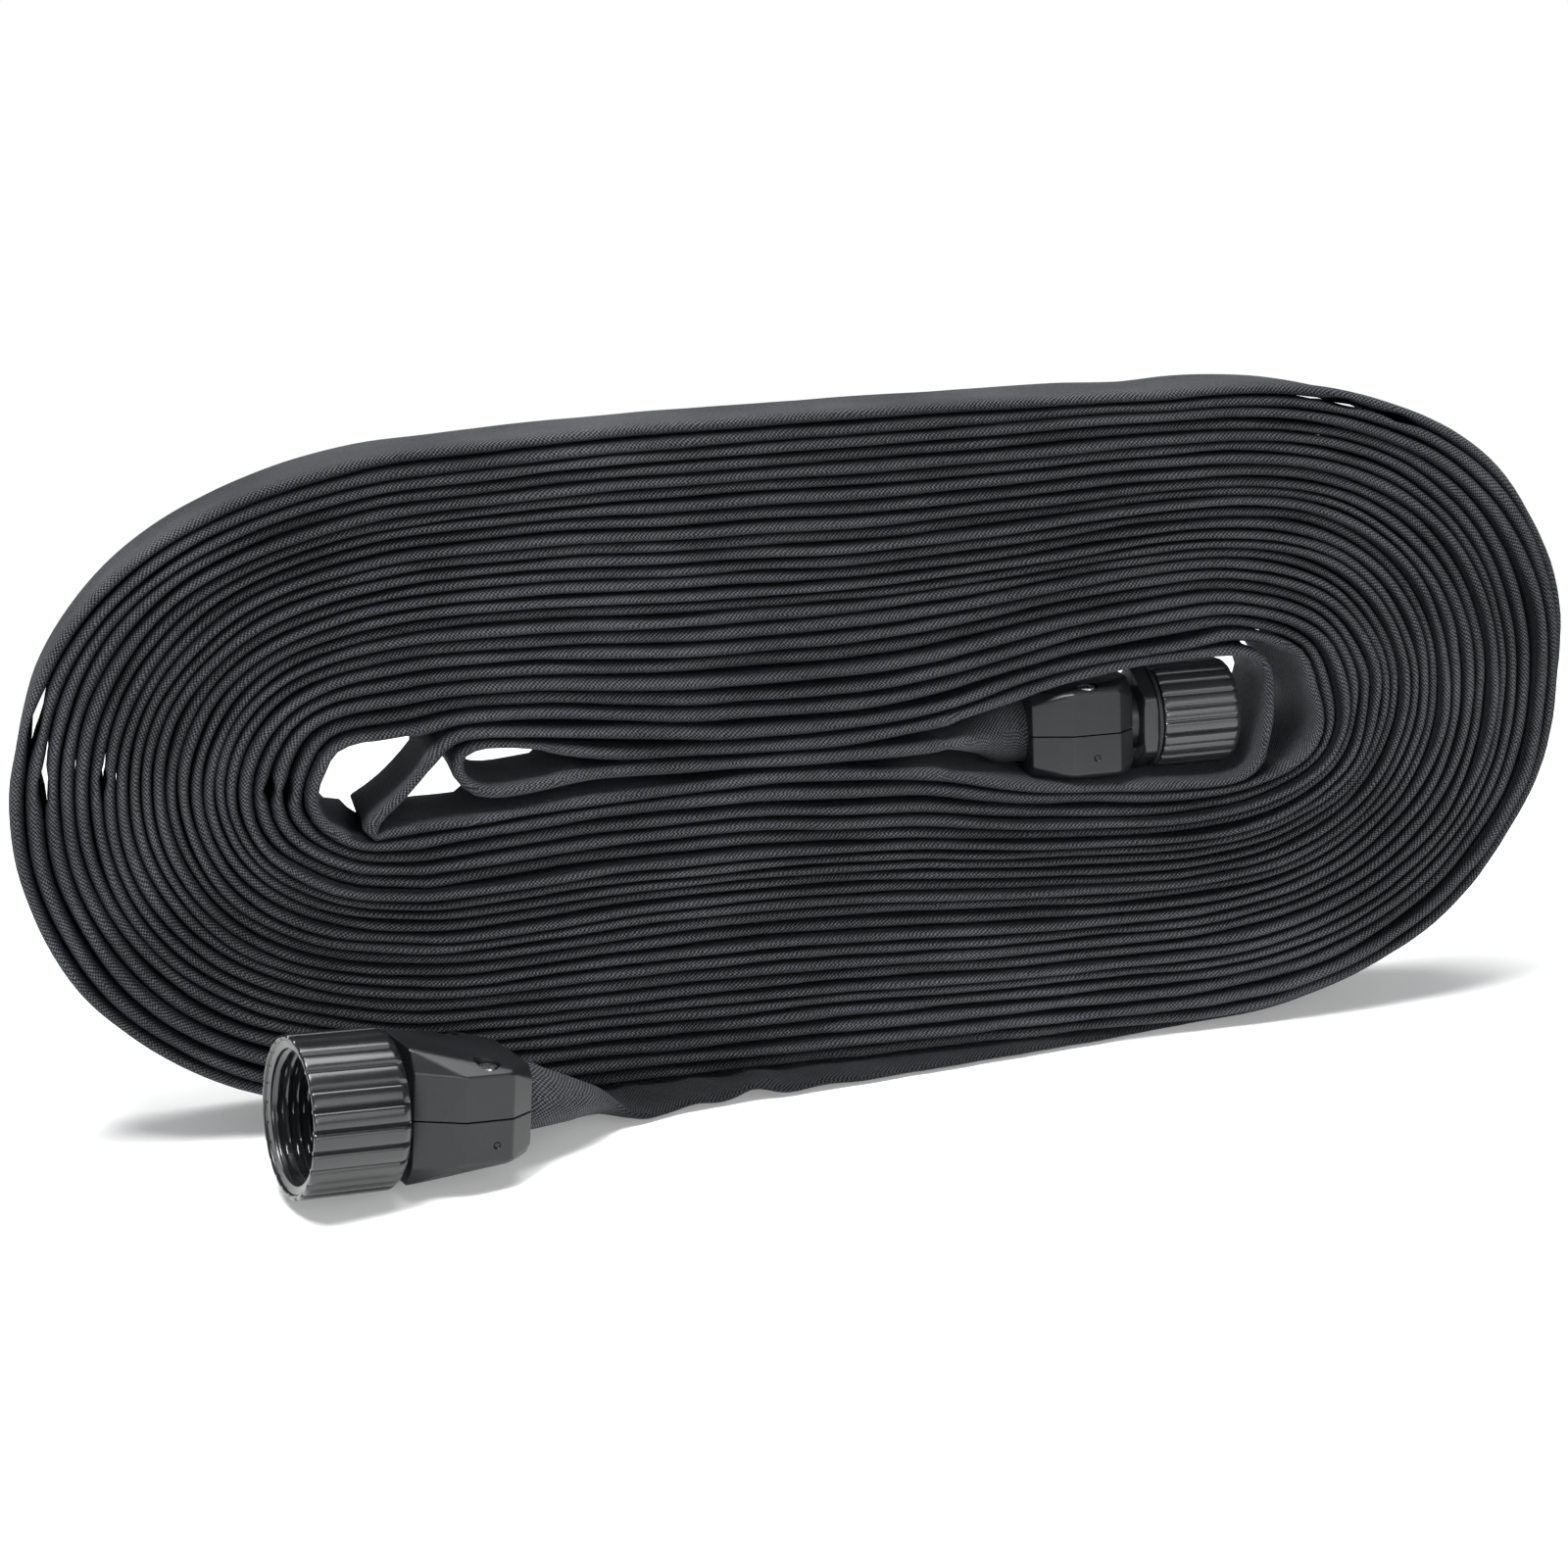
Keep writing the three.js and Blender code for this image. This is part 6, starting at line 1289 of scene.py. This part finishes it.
def clamp_shell(end, half, side):
    """One half of a clamp; side is 1 above the split and -1 below."""
    clamp = CLAMPS[end]
    x0, x1, screw_x = clamp["xs"][0], clamp["xs"][-1], clamp["screw_x"]
    bevel, drop = (1.2, 0.7) if side > 0 else (2.6, 1.3)
    middle = (CLAMP_HALF_WIDTH, CLAMP_HALF_HEIGHT - drop, CLAMP_HALF_WIDTH - bevel,
              CLAMP_HALF_HEIGHT)
    sections = (clamp["ends"][0], middle, middle, clamp["ends"][1])
    bm = bmesh.new()
    for x, (wall_y, wall_z, top_y, top_z) in zip(clamp["xs"], sections):
        for sign in (1, -1):
            for y, z in ((wall_y, SPLIT), (wall_y, wall_z), (top_y, top_z)):
                bm.verts.new((x, y * sign, z * side))
    bmesh.ops.convex_hull(bm, input=bm.verts)
    bmesh.ops.dissolve_limit(bm, angle_limit=math.radians(2), verts=bm.verts, edges=bm.edges)

    def at_split(edge):
        return all(abs(v.co.z) < SPLIT + 0.01 for v in edge.verts)

    def bevel_edges(edges, offset, segments):
        bmesh.ops.bevel(bm, geom=edges, offset=offset, segments=segments, profile=0.5,
                        affect="EDGES", clamp_overlap=True)

    bevel_edges([e for e in bm.edges if not at_split(e)], 0.45, 3)
    bevel_edges([e for e in bm.edges if at_split(e) and len(e.link_faces) == 2
                 and e.calc_face_angle(0) > 0.6], 0.28, 2)
    bmesh.ops.recalc_face_normals(bm, faces=bm.faces)
    name = f"{end}_clamp_{half}"
    obj = object_from(name, bm)

    cutters = [cylinder(8.4, *clamp["cavity"]), cylinder(7.35, x0 - 1, x1 + 1)]
    for sign in (1, -1):
        at = (screw_x, SCREW_Y * sign)
        if side > 0:
            above = CLAMP_HALF_HEIGHT + 5
            cutters.append(cylinder(1.65, -1, above, at, 32))
            cutters.append(cylinder(2.75, 8.5, above, at, 40))
        else:
            cutters.append(cylinder(1.65, -6.5, 1, at, 32))
    if side < 0:
        # small round dimple in the front face
        bm = bmesh.new()
        bmesh.ops.create_icosphere(bm, subdivisions=3, radius=0.9)
        bmesh.ops.translate(bm, verts=bm.verts, vec=(screw_x + 1.2, -15.35, -5.2))
        cutters.append(object_from("tool", bm))
    carve(obj, cutters, clamp["frame"], f"{end}_shell_{half}", SHELL, "shell_plastic", 40)
    obj.data.name = name
    normals = obj.modifiers.new("wn", "WEIGHTED_NORMAL")
    normals.keep_sharp = True
    normals.weight = 80


# r, z from the tip up to the domed head
SCREW_PROFILE = [(0, -6.0), (1.0, -6.0), (1.3, -5.6), (1.3, 8.85), (2.2, 8.85), (2.3, 9.0),
                 (2.3, 9.7), (2.05, 10.15), (1.2, 10.38), (0, 10.42)]


def clamp_screw(end, place_name, sign):
    """Screw with a crossed recess in its head."""
    x, y = CLAMPS[end]["screw_x"], SCREW_Y * sign
    segments = 40
    bm = bmesh.new()
    rows = []
    for r, z in SCREW_PROFILE:
        angles = [2 * math.pi * k / segments for k in range(segments if r else 1)]
        rows.append([bm.verts.new((x + r * math.cos(a), y + r * math.sin(a), z))
                     for a in angles])
    for a, b in zip(rows[:-1], rows[1:]):
        for k in range(segments):
            k2 = (k + 1) % segments
            if len(a) == 1:
                bm.faces.new((a[0], b[k2], b[k]))
            elif len(b) == 1:
                bm.faces.new((a[k], a[k2], b[0]))
            else:
                bm.faces.new((a[k], a[k2], b[k2], b[k]))
    bmesh.ops.recalc_face_normals(bm, faces=bm.faces)
    obj = object_from(f"{end}_clamp_screw_{place_name}", bm)
    cutters = []
    for turn in (0.5, 0.5 + math.pi / 2):
        bm = bmesh.new()
        bmesh.ops.create_cube(bm, size=1.0)
        bmesh.ops.scale(bm, verts=bm.verts, vec=(2.9, 0.62, 1.3))
        bmesh.ops.rotate(bm, verts=bm.verts, matrix=Matrix.Rotation(turn, 3, "Z"))
        bmesh.ops.translate(bm, verts=bm.verts, vec=(x, y, 10.2))
        cutters.append(object_from("tool", bm))
    carve(obj, cutters, CLAMPS[end]["frame"], f"{end}_screw_{place_name}", STEEL,
          "screw_steel", 35)


for end in CLAMPS:
    clamp_shell(end, "upper", 1)
    clamp_shell(end, "lower", -1)
for end in CLAMPS:
    clamp_screw(end, "front", -1)
    clamp_screw(end, "rear", 1)


# ------------------------------- floor, world, lights, camera (in metres)
def studio_floor():
    bm = bmesh.new()
    bmesh.ops.create_grid(bm, x_segments=2, y_segments=2, size=0.46)
    floor = object_from("studio_floor", bm)
    floor.location.z = -0.0004
    shader = Shader("pale_floor")
    shader.feed(shader.surface, {
        "Base Color": (0.9, 0.9, 0.9, 1), "Roughness": 0.9,
        "Emission Color": (1, 1, 1, 1), "Emission Strength": 0.18,
    })
    floor.data.materials.append(shader.material)
    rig.stage(floor)


def studio_world():
    """White to the camera, dim and slightly blue as a light."""
    world = bpy.data.worlds.new("studio")
    bpy.context.scene.world = world
    world.use_nodes = True
    nodes, links = world.node_tree.nodes, world.node_tree.links
    seen = nodes["Background"]
    lighting = nodes.new("ShaderNodeBackground")
    for node, color, strength in ((seen, (1, 1, 1, 1), 1.0),
                                  (lighting, (0.95, 0.97, 1, 1), 0.22)):
        node.inputs[0].default_value = color
        node.inputs[1].default_value = strength
    rays = nodes.new("ShaderNodeLightPath")
    mix = nodes.new("ShaderNodeMixShader")
    links.new(rays.outputs["Is Camera Ray"], mix.inputs[0])
    links.new(lighting.outputs[0], mix.inputs[1])
    links.new(seen.outputs[0], mix.inputs[2])
    links.new(mix.outputs[0], nodes["World Output"].inputs[0])


def area_light(name, location, target, size, power, height=None):
    light = bpy.data.lights.new(name, "AREA")
    light.energy = power
    light.size = size
    if height:
        light.shape = "RECTANGLE"
        light.size_y = height
    obj = link_object(name, light)
    obj.location = location
    direction = Vector(target) - Vector(location)
    obj.rotation_euler = direction.to_track_quat("-Z", "Y").to_euler()


def studio_camera():
    camera = bpy.data.cameras.new("camera")
    camera.lens = 65.25
    camera.sensor_width = 36.0
    camera.clip_end = 20
    obj = link_object("camera", camera)
    azimuth, elevation, roll = math.radians(-12.4), math.radians(13.3), math.radians(2.5)
    sin_az, cos_az = math.sin(azimuth), math.cos(azimuth)
    sin_el, cos_el = math.sin(elevation), math.cos(elevation)
    back = Vector((sin_az * cos_el, -cos_az * cos_el, sin_el))
    right = Vector((cos_az, sin_az, 0))
    up = Vector((-sin_az * sin_el, cos_az * sin_el, cos_el))
    rolled_right = right * math.cos(roll) - up * math.sin(roll)
    rolled_up = right * math.sin(roll) + up * math.cos(roll)
    matrix = Matrix((rolled_right, rolled_up, back)).transposed().to_4x4()
    matrix.translation = Vector((-0.13718, -0.59244, 0.20625))
    obj.matrix_world = matrix
    bpy.context.scene.camera = obj


studio_floor()
studio_world()
area_light("key", (-0.30, -0.30, 1.05), (0, 0, 0.06), size=0.35, power=13.0)
area_light("top", (0.10, 0.10, 1.1), (0, 0, 0.08), size=0.8, power=13.0)
area_light("front", (0.5, -1.0, 0.45), (0, 0, 0.06), size=0.6, power=2.6)
area_light("low_front", (-0.15, -1.1, 0.30), (0, 0, 0.07), size=0.9, power=4.5, height=0.22)
studio_camera()

bpy.context.scene.view_settings.view_transform = "Standard"
bpy.context.view_layer.update()
visual_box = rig.bounds()
try:
    json.dump({"cad": [list(map(float, v)) for v in cad_box],
               "visual": [list(map(float, v)) for v in visual_box]},
              open("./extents.json", "w"))
except OSError:
    pass
